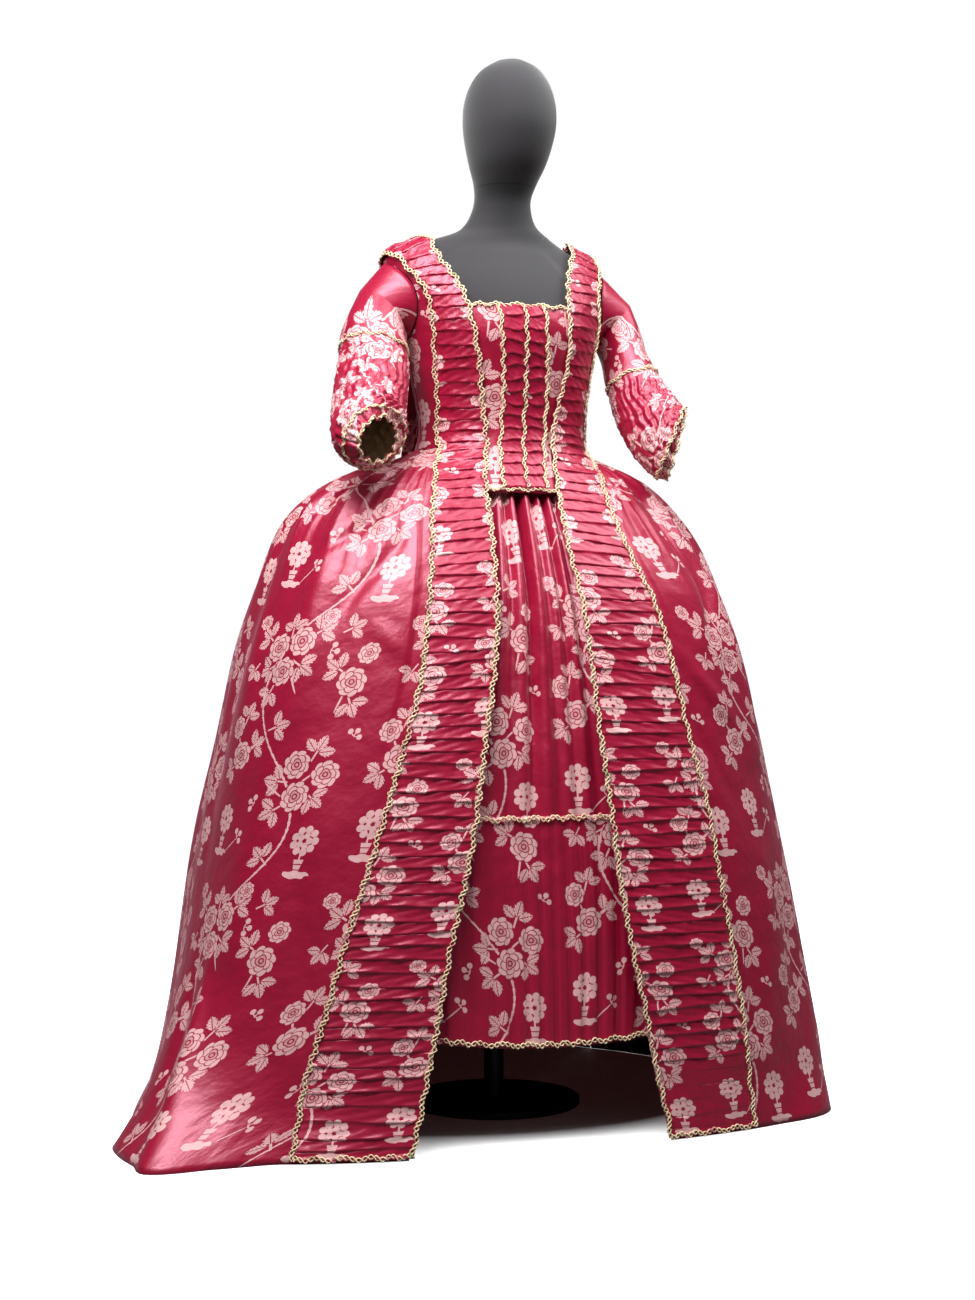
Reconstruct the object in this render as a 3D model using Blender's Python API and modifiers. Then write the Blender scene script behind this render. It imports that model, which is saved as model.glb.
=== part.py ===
"""A robe a la francaise on its dress form: sack back with box pleats, side panels over a wide hoop,
ruched robings from the back neck to the hem, stomacher, petticoat with a pleated flounce, elbow sleeves.

Metres, +Z up, the wearer faces -Y. Run with blender --background --python part.py.
Every cloth piece is a sheet of points on one body surface, moved out by its layer, with a wall put on it.
"""

from collections import namedtuple
from math import atan2, cos, degrees, pi, radians, sin, sqrt

import bmesh
import bpy
from mathutils import Matrix, Vector

# Driving sizes
WAIST_Z = 1.056
SEAM_GAP = 0.0005
WALL = 0.0016
ROBING_WALL = 0.0014
ROBING_LIFT = 0.0046
ROBING_TUCK = 0.0038
ROBING_TUCKS = 56
ROBING_COLUMNS = 3
SKIRT_COLUMNS = 19
PLEAT_DEPTH = 0.006
PLEATS_FROM_TURN = 50
STRIP_LIFT = 0.0034
STRIP_TUCKS = 15
FORM_CLEARANCE = 0.0062
SHOULDER_CLEARANCE = 0.0085
HEM_Z = 0.0009
SACK_LIFT = 0.0095
ARMHOLE_Z = 1.294
ARMHOLE_RADIUS = 0.0575
SLEEVE_LIFT = 0.0024
SLEEVE_COLUMNS = 24
POLE_RADIUS = 0.016
POLE_Y = 0.03
BASE_RADIUS = 0.14
BASE_THICKNESS = 0.012

# The body surface: at each height a rounded oblong, wider than deep over the hoop.
Profile = namedtuple("Profile", "z half_width front back squareness roundness shift middle")
PROFILE = [
    Profile(0.000, 0.566, 0.240, 0.750, 2.35, 1.8, -0.042, -0.090),
    Profile(0.060, 0.546, 0.262, 0.700, 2.35, 1.8, -0.026, -0.062),
    Profile(0.130, 0.530, 0.278, 0.620, 2.45, 1.9, -0.016, -0.040),
    Profile(0.330, 0.492, 0.290, 0.502, 2.55, 2.1, -0.012, -0.012),
    Profile(0.530, 0.451, 0.280, 0.410, 2.6, 2.3, -0.014, 0.0),
    Profile(0.720, 0.412, 0.247, 0.335, 2.6, 2.4, -0.014, 0.0),
    Profile(0.820, 0.380, 0.222, 0.290, 2.6, 2.4, -0.014, 0.0),
    Profile(0.890, 0.350, 0.192, 0.258, 2.5, 2.4, -0.016, 0.0),
    Profile(0.940, 0.319, 0.167, 0.228, 2.4, 2.4, -0.019, 0.0),
    Profile(0.980, 0.281, 0.144, 0.196, 2.3, 2.3, -0.017, 0.0),
    Profile(1.010, 0.234, 0.129, 0.165, 2.2, 2.2, -0.012, 0.0),
    Profile(1.035, 0.176, 0.118, 0.136, 2.1, 2.1, -0.006, 0.0),
    Profile(1.060, 0.138, 0.110, 0.112, 2.1, 2.1, -0.002, 0.0),
    Profile(1.100, 0.134, 0.107, 0.103, 2.1, 2.1, 0.0, 0.0),
    Profile(1.180, 0.148, 0.118, 0.112, 2.1, 2.1, 0.0, 0.0),
    Profile(1.240, 0.160, 0.128, 0.120, 2.1, 2.1, 0.0, 0.0),
    Profile(1.280, 0.172, 0.121, 0.116, 2.1, 2.1, -0.002, 0.0),
    Profile(1.310, 0.181, 0.109, 0.106, 2.1, 2.1, -0.005, 0.0),
    Profile(1.340, 0.185, 0.092, 0.094, 2.1, 2.1, -0.010, 0.0),
    Profile(1.372, 0.174, 0.070, 0.075, 2.1, 2.1, -0.014, 0.0),
    Profile(1.395, 0.126, 0.054, 0.060, 2.1, 2.1, -0.014, 0.0),
]

# Folds of the hem that stand out at the wearer's right: how far, at turns round the body.
Flare = namedtuple("Flare", "turn out")
RIGHT_FLARE = [
    Flare(0, 0.0),
    Flare(66, 0.0),
    Flare(73, 0.100),
    Flare(80, 0.062),
    Flare(88, 0.030),
    Flare(98, 0.008),
    Flare(112, 0.0),
    Flare(180, 0.0),
]
LEFT_FLARE = [
    Flare(0, 0.0),
    Flare(64, 0.002),
    Flare(76, 0.012),
    Flare(88, -0.006),
    Flare(100, 0.012),
    Flare(114, 0.0),
    Flare(180, 0.0),
]
FLARE_TOP = 0.26

# Robing edges, from the back neck over the shoulder and down the front. behind is 1 on the back.
Edge = namedtuple("Edge", "z_inner x_inner z_outer x_outer behind")
RIGHT_ROBING = [
    Edge(1.383, 0.118, 1.344, 0.166, 1),
    Edge(1.392, 0.132, 1.364, 0.190, 0),
    Edge(1.344, 0.120, 1.335, 0.168, 0),
    Edge(1.300, 0.097, 1.300, 0.147, 0),
    Edge(1.250, 0.084, 1.250, 0.136, 0),
    Edge(1.190, 0.071, 1.190, 0.130, 0),
    Edge(1.130, 0.064, 1.130, 0.122, 0),
    Edge(1.080, 0.058, 1.080, 0.122, 0),
    Edge(1.040, 0.062, 1.030, 0.137, 0),
    Edge(0.990, 0.073, 0.985, 0.156, 0),
    Edge(0.940, 0.077, 0.930, 0.172, 0),
    Edge(0.880, 0.081, 0.870, 0.182, 0),
    Edge(0.790, 0.088, 0.790, 0.197, 0),
    Edge(0.700, 0.100, 0.690, 0.216, 0),
    Edge(0.600, 0.120, 0.600, 0.243, 0),
    Edge(0.500, 0.137, 0.500, 0.275, 0),
    Edge(0.400, 0.158, 0.400, 0.308, 0),
    Edge(0.300, 0.184, 0.300, 0.341, 0),
    Edge(0.200, 0.204, 0.200, 0.370, 0),
    Edge(0.100, 0.226, 0.100, 0.402, 0),
    Edge(0.004, 0.250, 0.004, 0.425, 0),
]
LEFT_ROBING = [
    Edge(1.385, 0.106, 1.352, 0.142, 1),
    Edge(1.393, 0.106, 1.376, 0.152, 0),
    Edge(1.344, 0.086, 1.335, 0.148, 0),
    Edge(1.300, 0.072, 1.300, 0.137, 0),
    Edge(1.250, 0.070, 1.250, 0.136, 0),
    Edge(1.190, 0.069, 1.190, 0.126, 0),
    Edge(1.130, 0.056, 1.130, 0.121, 0),
    Edge(1.080, 0.046, 1.080, 0.126, 0),
    Edge(1.040, 0.046, 1.030, 0.128, 0),
    Edge(0.990, 0.043, 0.985, 0.130, 0),
    Edge(0.940, 0.040, 0.930, 0.138, 0),
    Edge(0.880, 0.041, 0.870, 0.156, 0),
    Edge(0.790, 0.050, 0.790, 0.185, 0),
    Edge(0.700, 0.054, 0.690, 0.205, 0),
    Edge(0.600, 0.060, 0.600, 0.222, 0),
    Edge(0.500, 0.070, 0.500, 0.247, 0),
    Edge(0.400, 0.079, 0.400, 0.262, 0),
    Edge(0.300, 0.094, 0.300, 0.279, 0),
    Edge(0.200, 0.114, 0.200, 0.294, 0),
    Edge(0.100, 0.132, 0.100, 0.304, 0),
    Edge(0.004, 0.152, 0.004, 0.312, 0),
]

# Fitted bodice: heights at the robing, the side or armhole, and the back, whose edge turns along the neck.
Fitted = namedtuple("Fitted", "front side back turn")
FITTED = [
    Fitted(1.0575, 1.0575, 1.0575, 179.9),
    Fitted(1.080, 1.080, 1.080, 179.9),
    Fitted(1.120, 1.120, 1.130, 179.9),
    Fitted(1.180, 1.180, 1.200, 179.9),
    Fitted(1.232, 1.2365, 1.270, 179.9),
    Fitted(1.250, 1.250, 1.315, 179.9),
    Fitted(1.275, 1.272, 1.352, 179.9),
    Fitted(1.300, 1.298, 1.384, 179.9),
    Fitted(1.340, 1.324, 1.386, 150.0),
    Fitted(1.372, 1.341, 1.389, 120.0),
    Fitted(1.393, 1.3515, 1.393, 91.0),
]
NECK_LIFT = 0.002

# Ruched strips down the stomacher: where their three edges lie.
Strip = namedtuple("Strip", "z right middle left")
STRIPS = [
    Strip(0.990, -0.046, -0.006, 0.026),
    Strip(1.130, -0.035, 0.000, 0.036),
    Strip(1.279, -0.046, -0.005, 0.028),
]
STRIP_PUFF = 0.0030
STRIP_EDGE_PUFF = 0.0012
STOMACHER_EDGE_LIFT = 0.001
STOMACHER_BOTTOM = 0.984
STOMACHER_TOP = 1.281

# Sack back: half width and depth of the hanging panel, down from the back neck.
Sack = namedtuple("Sack", "z half_width middle edge pleat")
SACK = [
    Sack(1.386, 0.098, 0.072, 0.050, 0.002),
    Sack(1.370, 0.102, 0.084, 0.064, 0.003),
    Sack(1.350, 0.106, 0.096, 0.080, 0.004),
    Sack(1.300, 0.110, 0.117, 0.098, 0.006),
    Sack(1.240, 0.112, 0.136, 0.116, 0.009),
    Sack(1.160, 0.114, 0.158, 0.134, 0.012),
    Sack(1.100, 0.116, 0.174, 0.148, 0.014),
    Sack(1.050, 0.120, 0.187, 0.160, 0.015),
    Sack(1.010, 0.126, 0.196, 0.172, 0.016),
]

# The panel's half width at the seam below the waist, how much the train adds, and its pleats' depth there.
SACK_HALF_WIDTH = 0.136
TRAIN_SPREAD = 0.20
SACK_PLEAT = 0.017
TRAIN_PLEAT = 0.038
SACK_SEAM_TOP = 0.97

# Petticoat: how far inside the body surface it lies, and the depth of its front folds.
Petticoat = namedtuple("Petticoat", "z inside fold")
PETTICOAT = [
    Petticoat(0.100, 0.034, 0.0),
    Petticoat(0.300, 0.032, 0.002),
    Petticoat(0.500, 0.026, 0.004),
    Petticoat(0.700, 0.020, 0.007),
    Petticoat(0.850, 0.015, 0.008),
    Petticoat(0.950, 0.012, 0.006),
    Petticoat(1.000, 0.009, 0.0035),
    Petticoat(1.045, 0.0065, 0.001),
]
PETTICOAT_WAIST_ROWS = [0.90, 0.94, 0.97, 1.00, 1.025, 1.042]
PETTICOAT_SEAT = 0.0026
FOLDS_ACROSS = 0.036
FLOUNCE_TOP = 0.492
FLOUNCE_LIFT = 0.0042
FLOUNCE_SEAT = 0.0032
FLOUNCE_PLEAT = 0.004
PETTICOAT_DRAWN_IN = 0.38
PETTICOAT_HEM = 0.147
PETTICOAT_HEM_RISE = 0.35

# Sleeve rings: centre, the way the sleeve runs there, and its two half widths. x is counted out from the middle.
Ring = namedtuple("Ring", "x y z out forward down across deep")
RIGHT_SLEEVE = [
    Ring(0.202, -0.004, 1.275, 0.72, 0.10, 0.68, 0.047, 0.050),
    Ring(0.219, -0.022, 1.234, 0.28, 0.28, 0.92, 0.051, 0.054),
    Ring(0.227, -0.046, 1.190, 0.25, 0.40, 0.88, 0.054, 0.055),
    Ring(0.243, -0.082, 1.140, 0.22, 0.48, 0.85, 0.056, 0.056),
    Ring(0.256, -0.113, 1.100, 0.08, 0.66, 0.74, 0.056, 0.056),
    Ring(0.261, -0.143, 1.068, -0.25, 0.86, 0.45, 0.064, 0.053),
    Ring(0.257, -0.168, 1.056, -0.62, 0.76, 0.14, 0.058, 0.043),
]
LEFT_SLEEVE = [
    Ring(0.194, -0.002, 1.277, 0.72, 0.10, 0.68, 0.041, 0.050),
    Ring(0.205, -0.014, 1.238, 0.25, 0.22, 0.94, 0.035, 0.052),
    Ring(0.212, -0.034, 1.190, 0.16, 0.30, 0.94, 0.038, 0.054),
    Ring(0.221, -0.062, 1.142, 0.26, 0.38, 0.88, 0.046, 0.055),
    Ring(0.229, -0.092, 1.105, 0.52, 0.42, 0.74, 0.053, 0.054),
    Ring(0.240, -0.113, 1.080, 0.80, 0.36, 0.48, 0.060, 0.051),
    Ring(0.256, -0.124, 1.066, 0.90, 0.33, 0.27, 0.066, 0.048),
]
GATHERS_FROM = 0.42
GATHER_DEPTH = 0.0016
CUFF_WAVE = 0.0035

# Dress form below the waist and above the shoulders. In between it follows the cloth.
Form = namedtuple("Form", "z half_width front back y")
FORM_HIPS = [
    Form(0.790, 0.145, 0.100, 0.104, 0.0),
    Form(0.860, 0.160, 0.110, 0.116, 0.0),
    Form(0.950, 0.152, 0.102, 0.108, 0.0),
    Form(1.020, 0.128, 0.095, 0.098, 0.0),
]
FORM_CLOTHED = [1.064, 1.10, 1.14, 1.18, 1.21, 1.24, 1.26, 1.28, 1.31, 1.34, 1.372, 1.394]
FORM_HEAD = [
    Form(1.409, 0.080, 0.046, 0.052, 0.0),
    Form(1.424, 0.060, 0.044, 0.050, -0.002),
    Form(1.444, 0.0495, 0.043, 0.047, -0.006),
    Form(1.466, 0.046, 0.044, 0.046, -0.012),
    Form(1.490, 0.051, 0.056, 0.056, -0.024),
    Form(1.515, 0.060, 0.072, 0.070, -0.034),
    Form(1.545, 0.068, 0.083, 0.081, -0.040),
    Form(1.576, 0.073, 0.089, 0.087, -0.043),
    Form(1.610, 0.072, 0.087, 0.086, -0.043),
    Form(1.640, 0.063, 0.077, 0.077, -0.043),
    Form(1.664, 0.047, 0.058, 0.058, -0.043),
    Form(1.679, 0.024, 0.030, 0.030, -0.043),
]
FORM_TOP_Z = 1.684
FORM_SEGMENTS = 30

SKIRT_ROWS = [HEM_Z, 0.04, 0.11, 0.21, 0.33, 0.46, 0.58, 0.69, 0.78, 0.85, 0.90, 0.94, 0.97, 1.0, 1.025, 1.042, WAIST_Z]

# Finishes: material name, colour and roughness.
SATIN = ("satin", (0.60, 0.05, 0.17, 1.0), 0.35)
FORM_CLOTH = ("form_cloth", (0.045, 0.045, 0.05, 1.0), 0.85)
STEEL = ("stand_steel", (0.08, 0.08, 0.085, 1.0), 0.45)


def smooth(rows, name, at, key="z"):
    """A named column of a table, read at a height on a smooth curve through its rows."""
    rows = sorted(rows, key=lambda row: getattr(row, key))
    keys = [getattr(row, key) for row in rows]
    values = [getattr(row, name) for row in rows]
    at = min(max(at, keys[0]), keys[-1])
    i = next((k for k in range(1, len(keys) - 1) if at < keys[k]), len(keys) - 1)
    span = keys[i] - keys[i - 1]
    share = (at - keys[i - 1]) / span

    def slope(k):
        before, after = max(k - 1, 0), min(k + 1, len(keys) - 1)
        return (values[after] - values[before]) / (keys[after] - keys[before])

    rise = values[i] - values[i - 1]
    start, end = slope(i - 1) * span, slope(i) * span
    limit = 3 * abs(rise)
    start, end = (max(-limit, min(limit, v)) for v in (start, end))
    a, b = start + end - 2 * rise, 3 * rise - 2 * start - end
    return values[i - 1] + start * share + b * share**2 + a * share**3


def between(values, at):
    """A list of numbers or vectors read at a share from 0 to 1, on a smooth curve."""
    last = len(values) - 1
    place = min(max(at, 0.0), 1.0) * last
    i = min(int(place), last - 1)
    share = place - i
    p0, p1, p2, p3 = (values[min(max(k, 0), last)] for k in (i - 1, i, i + 1, i + 2))
    return (
        p1 * 2 + (p2 - p0) * share + (p0 * 2 - p1 * 5 + p2 * 4 - p3) * share**2
        + (p1 * 3 - p0 - p2 * 3 + p3) * share**3
    ) * 0.5


def section(z, behind):
    """Half width, depth, power and middle of the body surface at a height, in front or behind."""
    names = ("half_width", "back", "roundness") if behind else ("half_width", "front", "squareness")
    return [smooth(PROFILE, name, z) for name in names + ("shift", "middle")]


def body_point(turn, z):
    """A point of the body surface. turn is in degrees: 0 in front, 90 at the wearer's left, 180 behind."""
    s, c = sin(radians(turn)), cos(radians(turn))
    half_width, depth, power, shift, middle = section(z, c < 0)
    reach = (abs(s / half_width) ** power + abs(c / depth) ** power) ** (-1 / power)
    return Vector((shift + reach * s, middle - reach * c, z))


def body(turn, z, out=0.0):
    """The body surface moved out by a distance along its normal."""
    step_turn, step_z = 1.0, 0.006
    along = body_point(turn + step_turn, z) - body_point(turn - step_turn, z)
    low, high = max(z - step_z, 0.0), min(z + step_z, PROFILE[-1].z)
    up = body_point(turn, high) - body_point(turn, low)
    return body_point(turn, z) + along.cross(up).normalized() * out


def turn_at(x, z, behind=False):
    """The turn at which the surface has this x, in front or behind."""
    half_width, depth, power, shift, _ = section(z, behind)
    across = min(abs(x - shift) / half_width, 1.0)
    reach = depth * (1 - across**power) ** (1 / power)
    side = 1 if x >= shift else -1
    return degrees(atan2(side * across * half_width, -reach if behind else reach))


def robing_path(rows, side):
    """Inner and outer edges as (turn, z) pairs, with the length run so far at each row."""
    edges, run, last = [], [0.0], None
    for row in rows:
        pair = []
        for z, x in ((row.z_inner, row.x_inner), (row.z_outer, row.x_outer)):
            turn = abs(turn_at(side * x, z, bool(row.behind)))
            pair.append(Vector((side * turn, z)))
        edges.append(pair)
        middle = (body_point(*pair[0]) + body_point(*pair[1])) / 2
        if last is not None:
            run.append(run[-1] + (middle - last).length)
        last = middle
    return edges, run


def on_robing(path, across, down):
    """(turn, z) on a robing. across is 0 at the inner edge and 1 at the outer, down is a share of its length."""
    edges, run = path
    want = down * run[-1]
    i = next(k for k in range(1, len(run)) if want <= run[k] or k == len(run) - 1)
    share = (want - run[i - 1]) / (run[i] - run[i - 1])
    whole = (i - 1 + share) / (len(run) - 1)
    inner = between([pair[0] for pair in edges], whole)
    outer = between([pair[1] for pair in edges], whole)
    return inner.lerp(outer, across)


def edge_x(rows, z, name):
    """How far out a robing edge is at a height, in front."""
    front = [row for row in rows if not row.behind]
    return smooth(front, "x_" + name, z, key="z_" + name)


def material(finish):
    """The material of a finish: its name, colour and roughness."""
    name, colour, roughness = finish
    made = bpy.data.materials.get(name) or bpy.data.materials.new(name)
    made.use_nodes = True
    shader = made.node_tree.nodes["Principled BSDF"]
    shader.inputs["Base Color"].default_value = colour
    shader.inputs["Roughness"].default_value = roughness
    return made


def finish_object(name, bm, finish, wall=None):
    """Turns a bmesh into a named object, with its material and its wall."""
    mesh = bpy.data.meshes.new(name)
    bm.to_mesh(mesh)
    bm.free()
    mesh.shade_smooth()
    made = bpy.data.objects.new(name, mesh)
    bpy.data.collections["robe_a_la_francaise"].objects.link(made)
    made.data.materials.append(material(finish))
    if wall:
        solidify = made.modifiers.new("wall", "SOLIDIFY")
        solidify.thickness = wall
        solidify.offset = 0.0
        solidify.use_quality_normals = True
    return made


def cloth(name, columns, rows, place, wall=WALL, finish=SATIN, closed=False):
    """A sheet of cloth with a wall. place turns (column, row) numbers into a point; a closed one is a tube."""
    bm = bmesh.new()
    bmesh.ops.create_grid(bm, x_segments=columns, y_segments=rows, size=1.0)
    for vert in bm.verts:
        column = round((vert.co.x + 1) / 2 * columns)
        row = round((vert.co.y + 1) / 2 * rows)
        vert.co = place(column % columns if closed else column, row)
    if closed:
        bmesh.ops.remove_doubles(bm, verts=bm.verts, dist=1e-6)
        bmesh.ops.recalc_face_normals(bm, faces=bm.faces)
    return finish_object(name, bm, finish, wall)


def robing(name, rows, side):
    """A ruched strip: tucks that rise slowly and drop quickly, two rows of points for each."""
    path, columns = robing_path(rows, side), ROBING_COLUMNS

    def place(column, row):
        tuck, top = divmod(row, 2)
        down = (tuck + (0.68 if top else 0.0)) / ROBING_TUCKS
        turn, z = on_robing(path, column / columns if side > 0 else 1 - column / columns, 1 - down)
        lean = 1.0 if 0 < column < columns else 0.55
        return body(turn, z, ROBING_LIFT + (ROBING_TUCK * lean if top else 0.0))

    return cloth(name, columns, 2 * ROBING_TUCKS, place, ROBING_WALL)


def skirt_side(name, rows, side):
    """Side of the skirt, from under the robing round the hoop to the seam with the sack back."""
    columns = SKIRT_COLUMNS

    def place(column, row):
        z = SKIRT_ROWS[row]
        step = column if side > 0 else columns - column
        start = abs(turn_at(side * (edge_x(rows, z, "inner") + 0.006), z))
        seam = abs(turn_at(side * edge_x(rows, z, "outer"), z))
        end = abs(turn_at(side * (sack_half_width(z) + SEAM_GAP), z, behind=True))
        if step <= ROBING_COLUMNS:
            turn = start + (seam - start) * step / ROBING_COLUMNS
        else:
            turn = seam + (end - seam) * (step - ROBING_COLUMNS) / (columns - ROBING_COLUMNS)
        pleat_zone = min(max((turn - PLEATS_FROM_TURN) / 20, 0.0), 1.0) * min(max((end - turn) / 15, 0.0), 1.0)
        from_waist = min(max((z - 0.55) / 0.35, 0.0), 1.0) * min(max((WAIST_Z - z) / 0.05, 0.15), 1.0)
        lift = PLEAT_DEPTH * pleat_zone * from_waist if step % 2 else 0.0
        flare = smooth(LEFT_FLARE if side > 0 else RIGHT_FLARE, "out", turn, key="turn")
        lift += flare * max(0.0, 1 - z / FLARE_TOP) ** 1.6
        point = body(side * turn, z, lift)
        return Vector((point.x, point.y, HEM_Z)) if row == 0 else point

    return cloth(name, columns, len(SKIRT_ROWS) - 1, place)


def sack_half_width(z):
    """Half the width of the back panel at a height; it spreads from the waist to the train."""
    if z >= SACK_SEAM_TOP:
        return smooth(SACK, "half_width", z) + 0.01 * max(0.0, 1.02 - z) / 0.05
    return SACK_HALF_WIDTH + TRAIN_SPREAD * (1 - z / SACK_SEAM_TOP) ** 0.9


def pleat_height(across):
    """Two double box pleats: two flat tops beside the middle, a lower step outside each, flat at the edges."""
    across = abs(across)
    steps = ((0.0, 0.0), (0.05, 0.0), (0.10, 1.0), (0.48, 1.0), (0.54, 0.45), (0.82, 0.45), (0.90, 0.0), (1.0, 0.0))
    for (start, low), (end, high) in zip(steps, steps[1:]):
        if across <= end:
            return low + (high - low) * (across - start) / (end - start)
    return 0.0


def sack_back(name):
    """Back panel, pleated at the neck and falling free to the train."""
    halves = (0.05, 0.10, 0.29, 0.48, 0.54, 0.68, 0.82, 0.90, 1.0)
    across = [-h for h in reversed(halves)] + [0.0] + list(halves)
    heights = SKIRT_ROWS[:-4] + [row.z for row in reversed(SACK)]

    def place(column, row):
        z, share = heights[row], across[column]
        half_width = sack_half_width(z)
        if z <= SACK_SEAM_TOP:
            centre = smooth(PROFILE, "shift", z)
            limit = half_width - SEAM_GAP
            point = body_point(turn_at(min(max(share * half_width, -limit), limit), z, True), z)
            outward = Vector((point.x - centre, point.y * 1.4, 0)).normalized()
            depth = SACK_PLEAT + TRAIN_PLEAT * (1 - z / SACK_SEAM_TOP)
            return point + outward * depth * pleat_height(share)
        middle, edge = smooth(SACK, "middle", z), smooth(SACK, "edge", z)
        y = middle + (edge - middle) * abs(share) ** 2.2
        y = max(y, body(turn_at(share * half_width, z, True), z, SACK_LIFT).y)
        return Vector((share * half_width, y + smooth(SACK, "pleat", z) * pleat_height(share), z))

    return cloth(name, len(across) - 1, len(heights) - 1, place)


def armhole_turn(z, behind):
    """Where the armhole edge crosses a height: its turn on the body surface."""
    half_width, depth, power, _, _ = section(z, behind)
    y = sqrt(max(ARMHOLE_RADIUS**2 - (z - ARMHOLE_Z) ** 2, 0.0))
    x = half_width * (1 - min(y / depth, 0.96) ** power) ** (1 / power)
    return degrees(atan2(x, -y if behind else y))


def fitted(name, rows, side, behind):
    """A quarter of the fitted bodice: from under the robing or the centre back to the side and the armhole."""
    columns = 7

    def place(column, row):
        share = column / columns if (side > 0) != behind else 1 - column / columns
        z_inner, z_outer = (FITTED[row].back if behind else FITTED[row].front), FITTED[row].side
        if behind:
            start = FITTED[row].turn
        elif row == len(FITTED) - 1:
            start = 89.0
        else:
            inner, outer = edge_x(rows, z_inner, "inner"), edge_x(rows, z_inner, "outer")
            start = abs(turn_at(side * (inner + 0.36 * (outer - inner)), z_inner))
        end = armhole_turn(z_outer, behind) if z_outer > ARMHOLE_Z - ARMHOLE_RADIUS else 90.0
        end += 0.25 if behind else -0.25
        lift = NECK_LIFT * (1 - share) * min(max((z_inner - 1.33) / 0.03, 0.0), 1.0)
        return body(side * (start + (end - start) * share), z_inner + (z_outer - z_inner) * share, lift)

    return cloth(name, columns, len(FITTED) - 1, place)


def stomacher(name):
    """Front panel that the robings frame, with its straight lower edge lying on the petticoat."""
    columns, rows = 8, 9

    def place(column, row):
        z = STOMACHER_BOTTOM + (STOMACHER_TOP - STOMACHER_BOTTOM) * row / rows
        tuck = 0.012 if z > WAIST_Z + 0.01 else 0.001
        right = -(edge_x(RIGHT_ROBING, z, "inner") + tuck)
        left = edge_x(LEFT_ROBING, z, "inner") + tuck
        x = right + (left - right) * column / columns
        return body(turn_at(x, z), z, STOMACHER_EDGE_LIFT if column in (0, columns) else 0.0)

    return cloth(name, columns, rows, place)


def ruched_strip(name, right_edge, left_edge):
    """A narrow ruched strip on the stomacher."""
    columns = 2

    def place(column, row):
        tuck, top = divmod(row, 2)
        z = STRIPS[0].z + (STRIPS[-1].z - STRIPS[0].z) * (tuck + (0.55 if top else 0.0)) / STRIP_TUCKS
        right, left = smooth(STRIPS, right_edge, z) + 0.001, smooth(STRIPS, left_edge, z) - 0.001
        x = right + (left - right) * column / columns
        puff = (STRIP_PUFF if column == 1 else STRIP_EDGE_PUFF) if top else 0.0
        return body(turn_at(x, z), z, STRIP_LIFT + puff)

    return cloth(name, columns, 2 * STRIP_TUCKS, place, ROBING_WALL)


def petticoat_point(turn, z, lift=0.0):
    """The petticoat lies inside the robe's surface, with folds that fall from its waist in front."""
    fold = smooth(PETTICOAT, "fold", z) * max(0.0, 1 - abs(turn) / 70)
    x = body_point(turn, z).x
    lean = 0.035 * (1.0 - z)
    wave = sin(2 * pi * (x + 0.012 + lean) / (FOLDS_ACROSS * (1 + 1.3 * (1.04 - z)))) - 1
    seat = min(max((abs(turn) - 50) / 15, 0.0), 1.0) * min(max((z - 0.94) / 0.03, 0.0), 1.0)
    inside = smooth(PETTICOAT, "inside", z) * (1 - seat) + PETTICOAT_SEAT * seat
    return body(turn, z, fold * wave * 0.5 * (1 - seat) - inside + lift)


def petticoat_hem(turn, top):
    """Height of the hem, which the hoop lifts at the sides."""
    x = body_point(turn, top).x
    return PETTICOAT_HEM + PETTICOAT_HEM_RISE * min(abs(x), 0.4) ** 2


def petticoat_front(name):
    """Front of the petticoat, from its waist down to just under the flounce's head."""
    columns = 28
    heights = [0.462, 0.56, 0.66, 0.75, 0.83] + PETTICOAT_WAIST_ROWS

    def place(column, row):
        share = 2 * column / columns - 1
        turn = 89.8 * share * (0.45 + 0.55 * share**2)
        return petticoat_point(turn, heights[row])

    return cloth(name, columns, len(heights) - 1, place)


def petticoat_flounce(name):
    """Lower front of the petticoat: a deep flounce laid in flat pleats."""
    columns, rows = 36, 4

    def place(column, row):
        share = 2 * column / columns - 1
        turn = 66 * share * (0.6 + 0.4 * share**2)
        low = petticoat_hem(turn, FLOUNCE_TOP)
        z = low + (FLOUNCE_TOP - low) * row / rows
        pleat = FLOUNCE_PLEAT if column % 4 in (1, 2) else 0.0
        lift = FLOUNCE_SEAT if row == rows else FLOUNCE_LIFT
        return petticoat_point(turn, z, lift + pleat * (1 - row / rows))

    return cloth(name, columns, rows, place)


def petticoat_back(name):
    """Back of the petticoat, drawn in under the train towards its hem."""
    columns = 18
    heights = [0.16, 0.30, 0.46, 0.62, 0.76] + PETTICOAT_WAIST_ROWS

    def place(column, row):
        turn = 90.2 + 179.6 * column / columns
        turn = turn if turn <= 180 else turn - 360
        z = heights[row] if row else petticoat_hem(turn, heights[1])
        point = petticoat_point(turn, z)
        behind = max(0.0, point.y)
        point.y -= PETTICOAT_DRAWN_IN * behind * max(0.0, 1 - z / 0.94) ** 0.8
        return point

    return cloth(name, columns, len(heights) - 1, place)


def sleeve_rings(rings, side):
    """Centre, half widths and frame of each ring: the frame turns as little as it can from ring to ring."""
    centres = [Vector((side * r.x, r.y, r.z)) for r in rings]
    axes = [Vector((side * r.out, -r.forward, -r.down)).normalized() for r in rings]
    forward, frames = Vector((0, -1, 0)), []
    for axis in axes:
        forward = (forward - axis * forward.dot(axis)).normalized()
        frames.append((forward.copy(), (forward.cross(axis) if side > 0 else axis.cross(forward))))
    return centres, [Vector((r.across, r.deep, 0)) for r in rings], frames


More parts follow.
